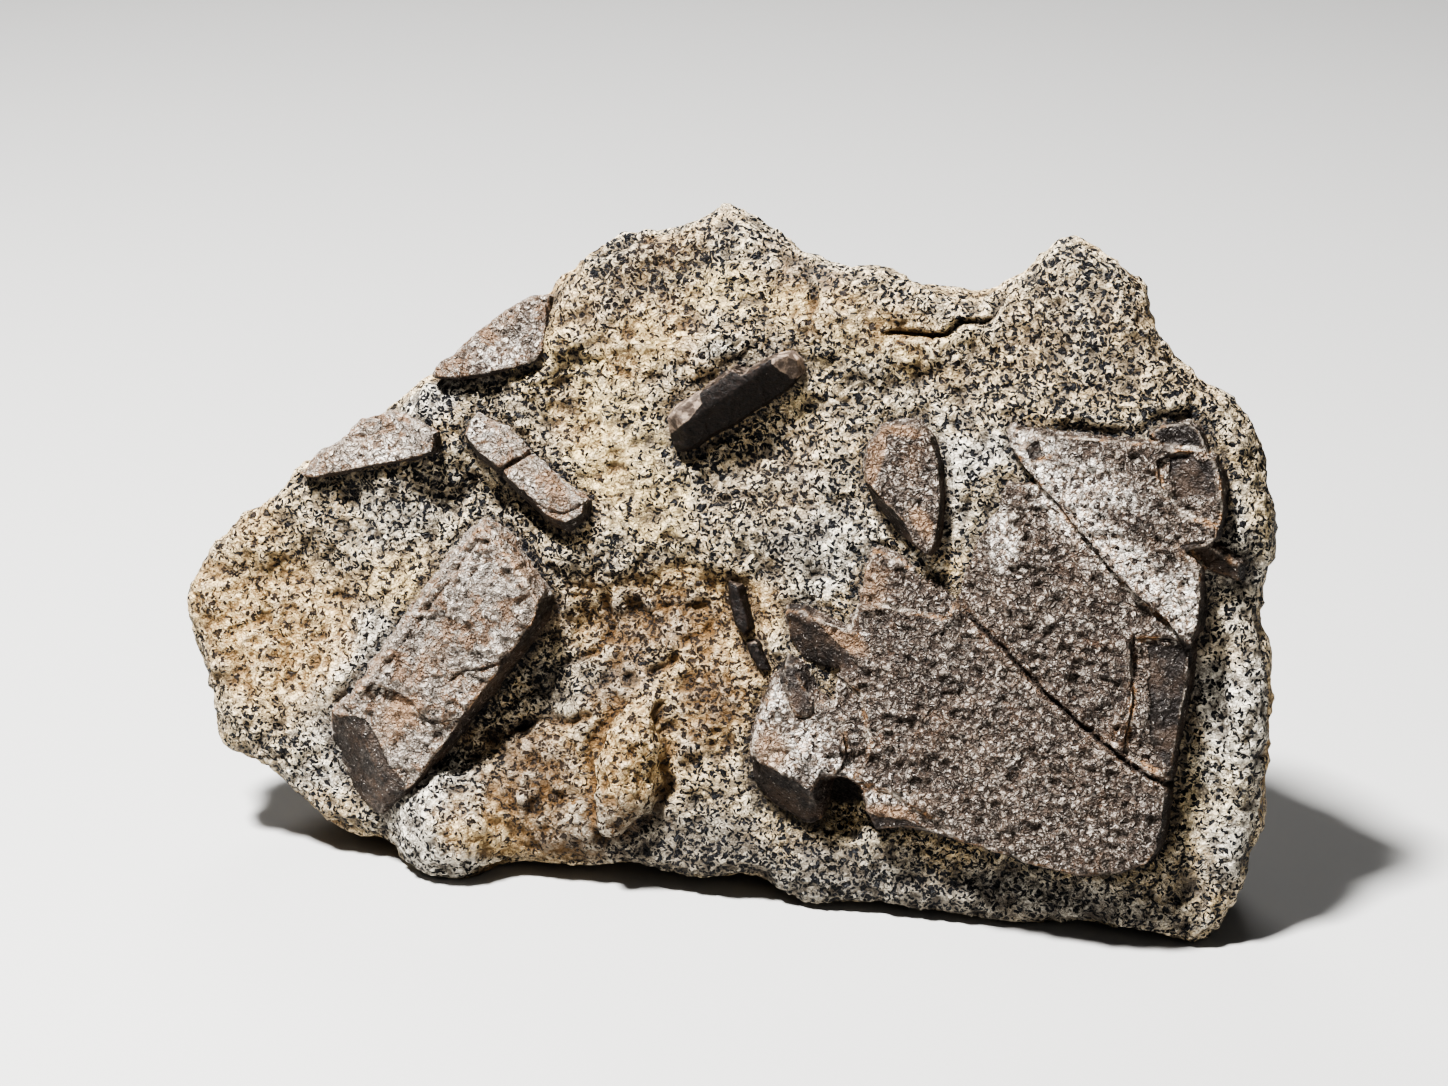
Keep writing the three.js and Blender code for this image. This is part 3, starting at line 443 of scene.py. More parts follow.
def area_value(place, outline, soft):
    """1 well inside an outline and 0 well outside it, changing over soft mm at its line."""
    x, y = place.T
    inside = np.zeros(len(place), bool)
    for (x0, y0), (x1, y1) in zip(outline, outline[1:] + outline[:1]):
        crosses = (y0 > y) != (y1 > y)
        inside ^= crosses & (x < (x1 - x0) * (y - y0) / ((y1 - y0) or 1.0) + x0)
    distance = line_distance(place, outline + outline[:1]) * np.where(inside, 1, -1)
    return ease(0.5 + distance / soft)


def line_distance(place, line):
    """Distance in mm from each [u, v] to a line of points."""
    best = np.full(len(place), 1e9)
    for start, end in zip(line, line[1:]):
        a, b = np.array(start, float), np.array(end, float)
        t = np.clip(((place - a) @ (b - a)) / ((b - a) @ (b - a)), 0, 1)
        best = np.minimum(best, np.linalg.norm(place - a - t[:, None] * (b - a), axis=1))
    return best


# Mesh helpers

def read_points(mesh):
    co = np.empty(len(mesh.vertices) * 3)
    mesh.vertices.foreach_get("co", co)
    return co.reshape(-1, 3)


def write_points(mesh, points):
    mesh.vertices.foreach_set("co", np.ascontiguousarray(points).ravel())
    mesh.update()


def read_normals(mesh):
    normals = np.empty(len(mesh.vertices) * 3)
    mesh.vertices.foreach_get("normal", normals)
    return normals.reshape(-1, 3)


def read_edges(mesh):
    pairs = np.empty(len(mesh.edges) * 2, dtype=np.int64)
    mesh.edges.foreach_get("vertices", pairs)
    return pairs.reshape(-1, 2)


def relax(points, edges, times, share=0.6, moving=None):
    """Moves each point towards the mean of its neighbours."""
    count = np.bincount(edges.ravel(), minlength=len(points))[:, None]
    count = np.maximum(count, 1)
    a, b = edges.T
    for _ in range(times):
        mean = np.stack([
            np.bincount(a, points[b, k], len(points)) + np.bincount(b, points[a, k], len(points))
            for k in range(3)
        ], axis=1) / count
        step = share * (mean - points)
        if moving is not None:
            step *= moving[:, None]
        points = points + step
    return points


def hollows(lift, edges, depth, times=6):
    """How deep each point lies below its surroundings, from 0 to 1 at the given depth in mm."""
    around = relax(np.stack([lift] * 3, axis=1), edges, times, 0.8)[:, 0]
    return np.clip((around - lift) / depth, 0, 1)


def node_mesh(name, swell=0.0):
    """A copy of a node's mesh, with its points pushed out along their normals by swell, in mm."""
    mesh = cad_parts[name].data.copy()
    build = bmesh.new()
    build.from_mesh(mesh)
    bmesh.ops.remove_doubles(build, verts=build.verts, dist=1e-6)
    build.to_mesh(mesh)
    build.free()
    if swell:
        write_points(mesh, read_points(mesh) + read_normals(mesh) * swell * MM)
    mesh.materials.clear()
    return mesh


def joined_mesh(meshes):
    build = bmesh.new()
    for mesh in meshes:
        build.from_mesh(mesh)
    joined = bpy.data.meshes.new("joined")
    build.to_mesh(joined)
    build.free()
    return joined


def remeshed(name, mesh, voxel):
    """A new object whose mesh is the given one, rebuilt as an even closed skin."""
    piece = bpy.data.objects.new(name, mesh)
    bpy.context.scene.collection.objects.link(piece)
    rebuild = piece.modifiers.new("even skin", "REMESH")
    rebuild.mode = "VOXEL"
    rebuild.voxel_size = voxel * MM
    dense = bpy.data.meshes.new_from_object(piece.evaluated_get(
        bpy.context.evaluated_depsgraph_get()))
    piece.modifiers.clear()
    piece.data = dense
    dense.name = name
    return piece


def tree_of(meshes):
    joined = joined_mesh(meshes)
    points = [Vector(p) for p in read_points(joined)]
    return BVHTree.FromPolygons(points, [tuple(f.vertices) for f in joined.polygons])


def near_tree(tree, points, reach):
    """Distance in mm from each point to the tree's surface, up to reach."""
    found = np.full(len(points), reach)
    for i, p in enumerate(points):
        d = tree.find_nearest(Vector(p), reach * MM)[3]
        if d is not None:
            found[i] = d / MM
    return found


def read_values(mesh, name):
    values = np.empty(len(mesh.vertices), dtype=np.float32)
    mesh.attributes[name].data.foreach_get("value", values)
    return values


def laid_on(tree, points):
    """Each point moved to the nearest place of the tree's surface."""
    return np.array([tree.find_nearest(Vector(p))[0] for p in points])


def set_values(mesh, **marks):
    """Stores a value of each point under each name, where the materials read it."""
    for name, values in marks.items():
        layer = mesh.attributes.new(name, "FLOAT", "POINT")
        layer.data.foreach_set("value", values.astype(np.float32))


def keep_inside(points):
    """Keeps points in the solid model's box and above the floor."""
    low, high = (np.array(corner) for corner in cad_box)
    return np.clip(points, low + FLOOR_CLEARANCE * MM * np.array([1, 1, 0]),
                   high - FLOOR_CLEARANCE * MM)


# The schist

def split_front(mesh, is_front):
    """Halves the edges that have both ends in front, so the crystal face is twice as fine."""
    build = bmesh.new()
    build.from_mesh(mesh)
    build.verts.ensure_lookup_table()
    edges = [edge for edge in build.edges if all(is_front[end.index] for end in edge.verts)]
    bmesh.ops.subdivide_edges(build, edges=edges, cuts=1, use_grid_fill=True)
    bmesh.ops.triangulate(build, faces=[f for f in build.faces if len(f.verts) > 4])
    build.to_mesh(mesh)
    build.free()


def make_schist():
    """The stone's skin. It runs on under the crystals, which stand in it."""
    crystals = [node_mesh(name) for name in CRYSTALS]
    solids = [node_mesh(SCHIST)] + [node_mesh(name, SOCKET_FILL) for name in CRYSTALS]
    piece = remeshed("schist_skin", joined_mesh(solids), SKIN_VOXEL)
    mesh = piece.data
    points, edges = read_points(mesh), read_edges(mesh)
    height = to_face(points)[:, 2]
    front = (read_normals(mesh) @ FACE_H > 0.3) & (height > -FRONT_DEPTH)

    # Under the crystals the skin is pulled in and stretched between its edges.
    candidates = np.flatnonzero(height > -ROOT_DEPTH)
    distance = np.full(len(points), FAR_AWAY)
    distance[candidates] = near_tree(tree_of(crystals), points[candidates], CRYSTAL_REACH)
    covered = (distance < COVERED_WITHIN).astype(float)
    points = points - covered[:, None] * FACE_H * COVERED_DROP * MM
    points = relax(points, edges, 260, 0.9, covered)
    set_values(mesh, contact=ease((1.9 - distance) / 1.1))
    edge_zone = np.clip((2.6 - distance) / 1.8, 0, 1) * (distance < CRYSTAL_REACH)
    points = relax(points, edges, 10, 0.5, edge_zone)

    # The solid's flat facets are worn smooth, but the level base stays level.
    base = points[:, 2] < BASE_BAND * MM
    points = relax(points, edges, 7, 0.5, (~base).astype(float))
    write_points(mesh, points)

    split_front(mesh, front)
    points, edges = read_points(mesh), read_edges(mesh)
    points = relax(points, edges, 2, 0.4, (points[:, 2] > BASE_BAND * MM).astype(float))
    write_points(mesh, points)
    carve_schist(mesh)
    return piece


def sheets(face, mm):
    """Broken edges of the schist's sheets, from -0.4 to 0.6. They lie along the front face."""
    place = face[:, 2] + 7.0 * layered_noise(mm, 30, 101) + 1.4 * layered_noise(mm, 5, 105)
    level = place / SHEET_THICKNESS + 0.4 * smooth_noise(face[:, 2:] * [1, 0, 0], 11, 109)
    sheet = np.floor(level)
    share = hash01(np.stack([sheet, sheet * 0, sheet * 0], axis=1), 103)
    share *= ease(layered_noise(mm, 16, 107) * 1.8 + 0.5)
    step = level - sheet
    return share * (ease(step / 0.8) - ease((step - 0.82) / 0.18) - 0.4)


def carve_schist(mesh):
    """Raises and pits the skin, and marks its stains and where painted shade and highlights lie.
    """
    points = read_points(mesh)
    normals = read_normals(mesh)
    face = to_face(points)
    mm = points / MM
    facing = np.clip((normals @ FACE_H - 0.1) / 0.4, 0, 1)

    ochre = stain(face, mm, facing, OCHRE, 3, OCHRE_CLOUDS)
    rust = stain(face, mm, facing, RUST, 5, RUST_CLOUDS)
    pale = blobs(face, PALE, 7) * facing
    gold = blobs(face, GOLD, 15) * facing
    dense = stain(face, mm, facing, DENSE, 9, DENSE_CLOUDS)
    grey = stain(face, mm, facing, GREY, 13, GREY_CLOUDS)

    lift = SWELL_HEIGHT * layered_noise(mm, 9, 61, 3)
    lift += LUMP_HEIGHT * layered_noise(mm, 3.2, 67, 2)
    lift += GRAIN_HEIGHT * grain_relief(mm, 1.8, 73, 2.0, 71, 0.45)
    lift += CURL_HEIGHT * curl_relief(mm, 1.9, 77, 1, 2.4)
    ridges = curl_relief(mm, 4.5, 79, 2, 2.2)
    lift += RIDGE_HEIGHT * ridges * (0.3 + 0.7 * np.maximum(ochre, rust))
    pits = ease((0.34 - cell_distance(mm, 5.5, 83)[0]) / 0.2) * (0.4 + 0.6 * facing)
    pits = pits * (0.3 + 0.7 * rust)
    lift -= PIT_DEPTH * pits
    place = ragged(face, 0.9, 3.2, (91, 95))
    for width, depth, line in GROOVES:
        lift -= facing * depth * np.exp(-(line_distance(place, line) / (width * 0.6)) ** 2)
    lift += SHEET_HEIGHT * (1 - facing) * sheets(face, mm)

    # At the crystals the relief is low. Towards the level base it fades away.
    contact = read_values(mesh, "contact")
    lift = lift * (1 - 0.75 * contact) - 0.5 * contact
    above = ease((points[:, 2] / MM - 0.25) / 1.5)
    points = points + normals * (lift * above * MM)[:, None]
    write_points(mesh, keep_inside(points))

    edges = read_edges(mesh)
    hollow = hollows(lift, edges, 0.18)
    sunk = hollows(lift, edges, 0.6, 40) * (0.25 + 0.75 * facing)
    crest = hollows(-lift, edges, 0.5, 20)
    place = ragged(face, 1.4, 2.4, (97, 99))
    cavity = np.zeros(len(points))
    for strength, outline in CAVITY:
        cavity = np.maximum(cavity, strength * facing * area_value(place, outline, 1.6))
    set_values(mesh, ochre=ochre, rust=rust, pale=pale, dense=dense, gold=gold, grey=grey,
               pits=pits, hollow=hollow, cavity=cavity, sunk=sunk, crest=crest)


# The crystals

def make_crystal(name):
    """One crystal with worn edges, chips and mica grains on its faces."""
    voxel = LATH_VOXEL if "lath" in name else SMALL_CRYSTAL_VOXEL
    if name in LARGE_CRYSTALS:
        voxel = CRYSTAL_VOXEL
    solid = node_mesh(name)
    tree = tree_of([solid])
    piece = remeshed(name + "_skin", solid, voxel)
    mesh = piece.data
    edges = read_edges(mesh)
    points = laid_on(tree, relax(laid_on(tree, read_points(mesh)), edges, 2, 0.5))
    worn_points = relax(points, edges, 4, 0.5)
    worn = np.linalg.norm(worn_points - points, axis=1) / MM
    edge = np.clip((worn - 0.03) / 0.12, 0, 1)
    points = relax(points, edges, 1, 0.5)
    write_points(mesh, points)
    normals = read_normals(mesh)
    face = to_face(points)
    mm = points / MM
    facing = np.clip(normals @ FACE_H, 0, 1)

    # Painted shade: the flanks are dark, least on the lit side, and the listed faces are dark,
    # partly as fresh breaks and partly as painted shade.
    lit = normals @ LIT_SIDE
    fresh = ease((0.8 - facing) / 0.25) * (0.34 + 0.58 * ease((0.25 - lit) / 0.5))
    place = ragged(face, 0.9, 2.4, (37, 39))
    for strength, outline in FRESH_AND_SHADED:
        fresh = np.maximum(fresh, strength * area_value(place, outline, 0.9))
    coat = blobs(face, COAT, 19, 3.0) * facing
    tan = blobs(face, TAN, 21, 2.0)

    coarse = COARSE.get(name, 1.0)
    rough = 0.25 if name in DARK_CRYSTALS else coarse * (1 - 0.7 * fresh)
    crisp = 1 - 0.75 * edge
    rough = rough * crisp
    lift = CRYSTAL_SWELL * crisp * layered_noise(mm, 7, 11, 3)
    lift += CRYSTAL_LUMP * rough * layered_noise(mm, 2.7, 17, 2)
    lift += CRYSTAL_CURL * rough * curl_relief(mm, 2.0, 25, 1, 2.4)
    lift += CRYSTAL_GRAIN * rough * grain_relief(mm, 1.7, 23, 1.6, 19, 0.5)
    holes = ease((0.2 - cell_distance(mm, 3.1, 43)[0]) / 0.16)
    lift -= HOLE_DEPTH * rough * holes
    chips = ease((layered_noise(mm, 2.6, 29, 3) - 0.1) / 0.25)
    lift -= CHIP_DEPTH * coarse * chips * edge
    seam = np.zeros(len(points))
    place = ragged(face, 0.25, 1.3, (33, 35), 1)
    for width, depth, line in SEAMS:
        distance = line_distance(place, line)
        lift -= depth * (np.exp(-(distance / (width * 0.7)) ** 2) * (face[:, 2] > 0))
        strength = min(1.0, depth * 1.6)
        seam = np.maximum(seam, strength * np.exp(-(distance / (width * 1.6)) ** 2))
    points = points + normals * (lift * MM)[:, None]
    write_points(mesh, keep_inside(points))

    torn = ease(layered_noise(mm, 3, 31) * 2 + 0.7)
    silver = np.full(len(points), SILVER.get(name, 1.0))
    rind = 0.45 * ease((normals @ FACE_V - 0.45) / 0.3)
    for outline in RINDS:
        rind = np.maximum(rind, area_value(place, outline, 0.8))
    set_values(mesh, edge=ease(edge * 1.2 - 0.1) * torn, seam=seam * facing, fresh=fresh,
               coat=coat, tan=tan, silver=silver, rind=rind, hollow=hollows(lift, edges, 0.16))
    return piece


# Materials

class Shader:
    """A material made of nodes, with the part's own coordinates in mm at hand."""

    def __init__(self, name):
        self.material = bpy.data.materials.new(name)
        self.material.use_nodes = True
        self.tree = self.material.node_tree
        self.tree.nodes.clear()
        self.output = self.node("OutputMaterial")
        place = self.node("TexCoord").outputs["Object"]
        scale = self.node("VectorMath", {"operation": "SCALE"}, {0: place, "Scale": 1 / MM})
        self.mm = scale.outputs[0]
        sway = self.node("TexNoise", None, {"Vector": self.mm, "Scale": 0.8, "Detail": 2.0})
        centred = self.vector("SUBTRACT", sway.outputs["Color"], (0.5, 0.5, 0.5))
        self.wavy = self.vector("ADD", self.mm, self.vector("MULTIPLY", centred, (2.2, 2.2, 2.2)))

    def node(self, kind, settings=None, inputs=None):
        made = self.tree.nodes.new("ShaderNode" + kind)
        for key, value in (settings or {}).items():
            setattr(made, key, value)
        for key, value in (inputs or {}).items():
            if isinstance(value, bpy.types.NodeSocket):
                self.tree.links.new(value, made.inputs[key])
            else:
                made.inputs[key].default_value = value
        return made

    def math(self, operation, a, b=0.0):
        return self.node("Math", {"operation": operation}, {0: a, 1: b}).outputs[0]

    def vector(self, operation, a, b=(0, 0, 0)):
        return self.node("VectorMath", {"operation": operation}, {0: a, 1: b}).outputs[0]

    def dot(self, a, b):
        made = self.node("VectorMath", {"operation": "DOT_PRODUCT"}, {0: a, 1: b})
        return made.outputs["Value"]

    def value(self, name):
        return self.node("Attribute", {"attribute_name": name}).outputs["Fac"]

    def noise(self, scale, detail=2.0, rough=0.5, warp=0.0, place=None):
        return self.node("TexNoise", None, {
            "Vector": place or self.mm, "Scale": scale, "Detail": detail, "Roughness": rough,
            "Distortion": warp,
        }).outputs["Fac"]

    def cells(self, scale, feature="F1", place=None):
        return self.node("TexVoronoi", {"feature": feature}, {
            "Vector": place or self.mm, "Scale": scale, "Randomness": 1.0,
        })

    def ramp(self, value, low, high, start=0.0, end=1.0):
        return self.node("MapRange", {"clamp": True, "interpolation_type": "SMOOTHSTEP"}, {
            "Value": value, "From Min": low, "From Max": high, "To Min": start, "To Max": end,
        }).outputs[0]

    def shifted(self, x, y, z):
        return self.node("VectorMath", {"operation": "ADD"}, {0: self.mm, 1: (x, y, z)}).outputs[0]

    def mix(self, share, a, b, blend="MIX"):
        made = self.node("Mix", {"data_type": "RGBA", "blend_type": blend}, {"Factor": share})
        for key, value in ((6, a), (7, b)):
            if isinstance(value, bpy.types.NodeSocket):
                self.tree.links.new(value, made.inputs[key])
            else:
                made.inputs[key].default_value = (*value, 1)
        return made.outputs[2]

    def bump(self, height, distance, under=None):
        inputs = {"Height": height, "Distance": distance * MM, "Strength": 1.0}
        if under:
            inputs["Normal"] = under
        return self.node("Bump", None, inputs).outputs[0]

    def finish(self, color, roughness, normal, **constants):
        inputs = {"Base Color": color, "Roughness": roughness, "Normal": normal}
        inputs.update({key.replace("_", " "): value for key, value in constants.items()})
        shader = self.node("BsdfPrincipled", None, inputs)
        self.tree.links.new(shader.outputs[0], self.output.inputs["Surface"])
        return self.material


def flakes(s, size, offset, keep, thick):
    """Bent flakes of mica, one to a cell of this size in mm, cut where the surface meets them.

    keep is the share of the cells that has one, and thick is half a flake's thickness.
    """
    place = s.vector("ADD", s.wavy, (offset, 1.7 * offset, -offset))
    cell = s.cells(1 / size, place=place)
    chance = cell.outputs["Color"]
    apart = s.vector("SUBTRACT", place, cell.outputs["Position"])
    way = s.vector("NORMALIZE", s.vector("SUBTRACT", chance, (0.5, 0.5, 0.5)))
    reach = s.dot(apart, apart)
    bend = s.math("ADD", s.dot(apart, way), s.math("MULTIPLY", reach, 0.9 / size))
    flat = s.math("DIVIDE", bend, thick)
    far = s.math("DIVIDE", reach, (0.48 * size) ** 2)
    lens = s.ramp(s.math("ADD", s.math("MULTIPLY", flat, flat), far), 0.7, 1.25, 1.0, 0.0)
    kept = s.math("LESS_THAN", s.math("FRACT", s.dot(chance, (5.3, 7.1, 9.7))), keep)
    return s.math("MULTIPLY", lens, kept)


def gaps(s, size, offset):
    """Distance in mm to the nearest line between curled grains of this size."""
    place = s.vector("ADD", s.wavy, (offset, -offset, 0.6 * offset))
    edge = s.cells(1 / size, "DISTANCE_TO_EDGE", place).outputs["Distance"]
    return s.math("MULTIPLY", edge, size)


def swirls(s, size, offset):
    """Broken curly lines, like the edges of thin bent sheets of mica, and the bends under them."""
    place = s.vector("ADD", s.wavy, (-offset, offset, 2.0 * offset))
    bends = s.noise(0.8 / size, 2.0, 0.5, 1.2, place)
    step = s.math("FRACT", s.math("MULTIPLY", bends, 6.0))
    apart = s.math("ABSOLUTE", s.math("SUBTRACT", step, 0.5))
    broken = s.ramp(s.noise(0.9 / size, 1.0, 0.5, 0.0, place), 0.46, 0.54)
    return s.math("MULTIPLY", s.ramp(apart, 0.06, 0.24, 1.0, 0.0), broken), bends


def schist_material():
    """Cream grains with golden, ochre, rust and grey stains, black flakes of biotite, and painted
    shade and highlights.
    """
    s = Shader("speckled_schist")
    ochre, rust, pale, dense = (s.value(name) for name in ("ochre", "rust", "pale", "dense"))

    # The ground: cream feldspar and quartz grains, stained ochre and rust in places.
    broad = s.noise(0.13, 4.0, 0.6)
    fine = s.noise(1.5, 3.0, 0.65)
    torn = s.math("MULTIPLY", s.math("SUBTRACT", fine, 0.5), 0.8)
    cream = s.mix(s.ramp(broad, 0.36, 0.64), FELDSPAR_DARK, FELDSPAR_LIGHT)
    cream = s.mix(s.ramp(fine, 0.45, 0.7), cream, QUARTZ)
    cream = s.mix(s.ramp(s.math("ADD", pale, torn), 0.2, 0.7, 0.0, 0.9), cream, PALE_QUARTZ)
    gold = s.ramp(s.noise(0.07, 3.0, 0.55, 0.0, s.shifted(3, -6, 2)), 0.47, 0.62, 0.0, 0.45)
    cream = s.mix(gold, cream, GOLDEN_VEIL)
    golden = s.ramp(s.math("ADD", s.value("gold"), torn), 0.15, 0.65, 0.0, 0.9)
    tan = s.mix(s.ramp(fine, 0.36, 0.58), OCHRE_DARK, OCHRE_LIGHT)
    stained = s.ramp(s.math("ADD", ochre, torn), 0.1, 0.7)
    ground = s.mix(stained, cream, tan)
    ground = s.mix(golden, ground, GOLDEN_SPOT)
    brown = s.mix(s.ramp(fine, 0.4, 0.6), RUST_DARK, RUST_LIGHT)
    rusty = s.ramp(s.math("ADD", rust, torn), 0.2, 0.8)
    ground = s.mix(s.math("MULTIPLY", rusty, 0.8), ground, brown)
    # Grey places, partly painted shade low along the bottom.
    cool = s.math("MAXIMUM", s.math("MULTIPLY", dense, 0.6), s.value("grey"))
    cool = s.ramp(s.math("ADD", cool, torn), 0.05, 0.9, 0.0, 0.8)
    ground = s.mix(cool, ground, GREY_SCHIST_AND_SHADE)

    # Thin dark lines between the grains, painted shade in the hollows and a painted highlight on
    # the crests.
    gap = gaps(s, 1.5, 4.0)
    fine_gap = gaps(s, 0.85, 9.0)
    line = s.math("MAXIMUM", s.ramp(gap, 0.02, 0.14, 0.7, 0.0),
                  s.ramp(fine_gap, 0.0, 0.08, 0.35, 0.0))
    gap_and_shade = s.mix(stained, GAP_AND_SHADE_GREY, GAP_AND_SHADE_BROWN)
    color = s.mix(s.math("MULTIPLY", line, s.ramp(broad, 0.35, 0.6, 0.5, 1.0)), ground, gap_and_shade)
    # Painted highlight on the crests, then painted shade in the sunk places and the hollows.
    color = s.mix(s.math("MULTIPLY", s.value("crest"), 0.35), color, CREST_HIGHLIGHT)
    color = s.mix(s.math("MULTIPLY", s.value("sunk"), 0.75), color, gap_and_shade)
    color = s.mix(s.math("MULTIPLY", s.value("hollow"), 0.7), color, gap_and_shade)

    swirl, curls = swirls(s, 1.0, 5.0)
    color = s.mix(s.math("MULTIPLY", swirl, 0.9), color, gap_and_shade)

    # Black biotite flakes of three sizes, thick where the schist is dense.
    keep = s.math("ADD", 0.82, s.math("MULTIPLY", dense, 0.5))
    keep = s.math("SUBTRACT", keep, s.math("MULTIPLY", stained, 0.4))
    keep = s.math("SUBTRACT", keep, s.math("MULTIPLY", s.math("ADD", pale, golden), 0.2))
    thick = s.math("ADD", 0.22, s.math("MULTIPLY", dense, 0.1))
    mica = flakes(s, 1.05, 3.1, keep, thick)
    for size, offset in ((0.8, 11.7), (1.35, 27.3)):
        mica = s.math("MAXIMUM", mica, flakes(s, size, offset, keep, thick))
    black = s.mix(s.math("MULTIPLY", stained, 0.7), BIOTITE, RUSTY_BIOTITE)
    # Painted shade at the crystals' feet.
    contact = s.ramp(s.math("ADD", s.value("contact"), torn), 0.5, 1.1, 0.0, 0.6)
    color = s.mix(contact, color, CONTACT_SHADE)
    color = s.mix(mica, color, black)
    # Painted shade in the pits, the cavity and the strip under the arm.
    dark = s.math("MAXIMUM", s.math("MULTIPLY", s.value("pits"), 0.6), s.value("cavity"))
    color = s.mix(dark, color, RECESS_SHADE)

    # The grains stand out like pillows, and the flakes lie a little deeper.
    height = s.ramp(gap, 0.0, 0.4, 0.0, 0.3)
    height = s.math("ADD", height, s.ramp(fine_gap, 0.0, 0.25, 0.0, 0.14))
    height = s.math("ADD", height, s.math("MULTIPLY", curls, 1.3))
    height = s.math("SUBTRACT", height, s.math("MULTIPLY", mica, 0.16))
    height = s.math("SUBTRACT", height, s.math("MULTIPLY", swirl, 0.14))
    normal = s.bump(height, 1.0)
    normal = s.bump(s.noise(3.2, 3.0, 0.7), 0.2, normal)
    roughness = s.ramp(mica, 0.0, 1.0, 0.8, 0.42)
    return s.finish(color, roughness, normal, Specular_IOR_Level=0.3)


def staurolite_material():
    """Dull brown crystals under a frost of mica, partly a painted highlight, near-black where they
    are broken and as painted shade on some flanks.
    """
    s = Shader("brown_staurolite")
    fresh, coat, silver = (s.value(name) for name in ("fresh", "coat", "silver"))
    broad = s.noise(0.16, 4.0, 0.6)
    fine = s.noise(1.3, 3.0, 0.65)
    torn = s.math("MULTIPLY", s.math("SUBTRACT", fine, 0.5), 0.7)
    body = s.mix(s.ramp(broad, 0.38, 0.62), BODY_DARK, BODY_LIGHT)
    patches = s.ramp(s.noise(0.3, 3.0, 0.6, 0.0, s.shifted(7, 3, 1)), 0.56, 0.68, 0.0, 0.4)
    body = s.mix(patches, body, BODY_RED)

    # A silvery frost of mica on the tops of the grains, partly a painted highlight, and dark lines
    # between them, partly painted shade.
    gap = gaps(s, 1.15, 5.0)
    fine_gap = gaps(s, 0.7, 2.0)
    crest = s.ramp(s.math("ADD", gap, s.math("MULTIPLY", torn, 0.5)), 0.1, 0.34)
    shine, curls = swirls(s, 1.0, 8.0)
    crest = s.math("MULTIPLY", crest, s.ramp(curls, 0.42, 0.57, 0.12, 1.1))
    frost_and_highlight = s.math("MULTIPLY", crest, s.math("ADD", silver, s.math("MULTIPLY", torn, 1.6)))
    silvered = s.math("ADD", silver, s.math("MULTIPLY", torn, 2.0))
    frost_and_highlight = s.math("MAXIMUM", frost_and_highlight, s.ramp(silvered, 0.8, 1.4, 0.0, 0.5))
    color = s.mix(s.math("MULTIPLY", frost_and_highlight, 0.8), body, FROST_AND_HIGHLIGHT)
    bright = s.math("MULTIPLY", shine, s.ramp(silver, 0.3, 1.0, 0.55, 0.8))
    color = s.mix(bright, color, BRIGHT_CURL)
    color = s.mix(s.math("MULTIPLY", swirls(s, 1.1, 3.0)[0], 0.75), color, DARK_CURL)
    specks = s.ramp(s.cells(1.9, place=s.wavy).outputs["Distance"], 0.12, 0.25, 0.95, 0.0)
    color = s.mix(s.math("MULTIPLY", specks, s.ramp(fine, 0.42, 0.52)), color, SPECK)
    line = s.math("MAXIMUM", s.ramp(gap, 0.02, 0.15, 0.95, 0.0),
                  s.ramp(fine_gap, 0.0, 0.08, 0.5, 0.0))
    line = s.math("MULTIPLY", line, s.ramp(silver, 0.4, 1.2, 1.0, 0.45))
    mottle = s.ramp(s.noise(0.28, 5.0, 0.75, 0.8, s.shifted(11, 2, 5)), 0.48, 0.58, 0.0, 0.8)
    color = s.mix(s.math("MULTIPLY", mottle, s.ramp(silver, 0.4, 1.1)), color, MOTTLE)
    color = s.mix(line, color, s.mix(patches, LINE_BROWN, LINE_RED))
    mica = flakes(s, 1.3, 17.0, 0.4, 0.16)
    color = s.mix(s.math("MULTIPLY", mica, 0.85), color, CRYSTAL_MICA)
    shade = s.math("MULTIPLY", s.value("hollow"), s.ramp(silver, 0.5, 1.4, 0.8, 0.5))
    color = s.mix(shade, color, HOLLOW_SHADE)

    # A coat of schist that still clings to some faces.
    white = s.ramp(s.math("ADD", coat, torn), 0.25, 0.7, 0.0, 0.9)
    grains = s.mix(s.ramp(fine, 0.40, 0.56), COAT_DARK, COAT_LIGHT)
    dots = s.math("MAXIMUM", flakes(s, 1.1, 23.0, 0.95, 0.3), s.ramp(gap, 0.02, 0.12, 0.8, 0.0))
    color = s.mix(white, color, s.mix(dots, grains, COAT_DOT))

    # The seams, the tan patches, the dark faces (fresh breaks and painted shade) and the rubbed
    # edges (brown wear and a pale painted highlight).
    seam = s.value("seam")
    worn = s.math("MULTIPLY", seam, s.ramp(fine, 0.45, 0.6, 0.0, 0.5))
    color = s.mix(worn, color, SEAM_RUST)
    color = s.mix(s.ramp(seam, 0.62, 0.95, 0.0, 0.9), color, SEAM_BLACK)
    rub_and_highlight = s.mix(s.ramp(s.noise(0.35, 3.0, 0.6), 0.44, 0.56), RUBBED_BROWN, PALE_RUB_AND_HIGHLIGHT)
    patch = s.ramp(s.math("ADD", s.value("tan"), torn), 0.25, 0.75, 0.0, 0.8)
    color = s.mix(patch, color, s.mix(line, TAN_PATCH, TAN_LINE))
    # Dark faces: fresh breaks, and painted shade on flanks.
    broken = s.ramp(s.math("ADD", fresh, s.math("MULTIPLY", torn, 0.5)), 0.3, 0.7, 0.0, 0.92)
    dark = s.mix(s.ramp(broad, 0.45, 0.62), BROKEN_AND_SHADED_BLACK, BROKEN_AND_SHADED_BROWN)
    dark = s.mix(s.math("MULTIPLY", specks, s.ramp(fine, 0.51, 0.58)), dark, BROKEN_SPECK)
    color = s.mix(broken, color, dark)
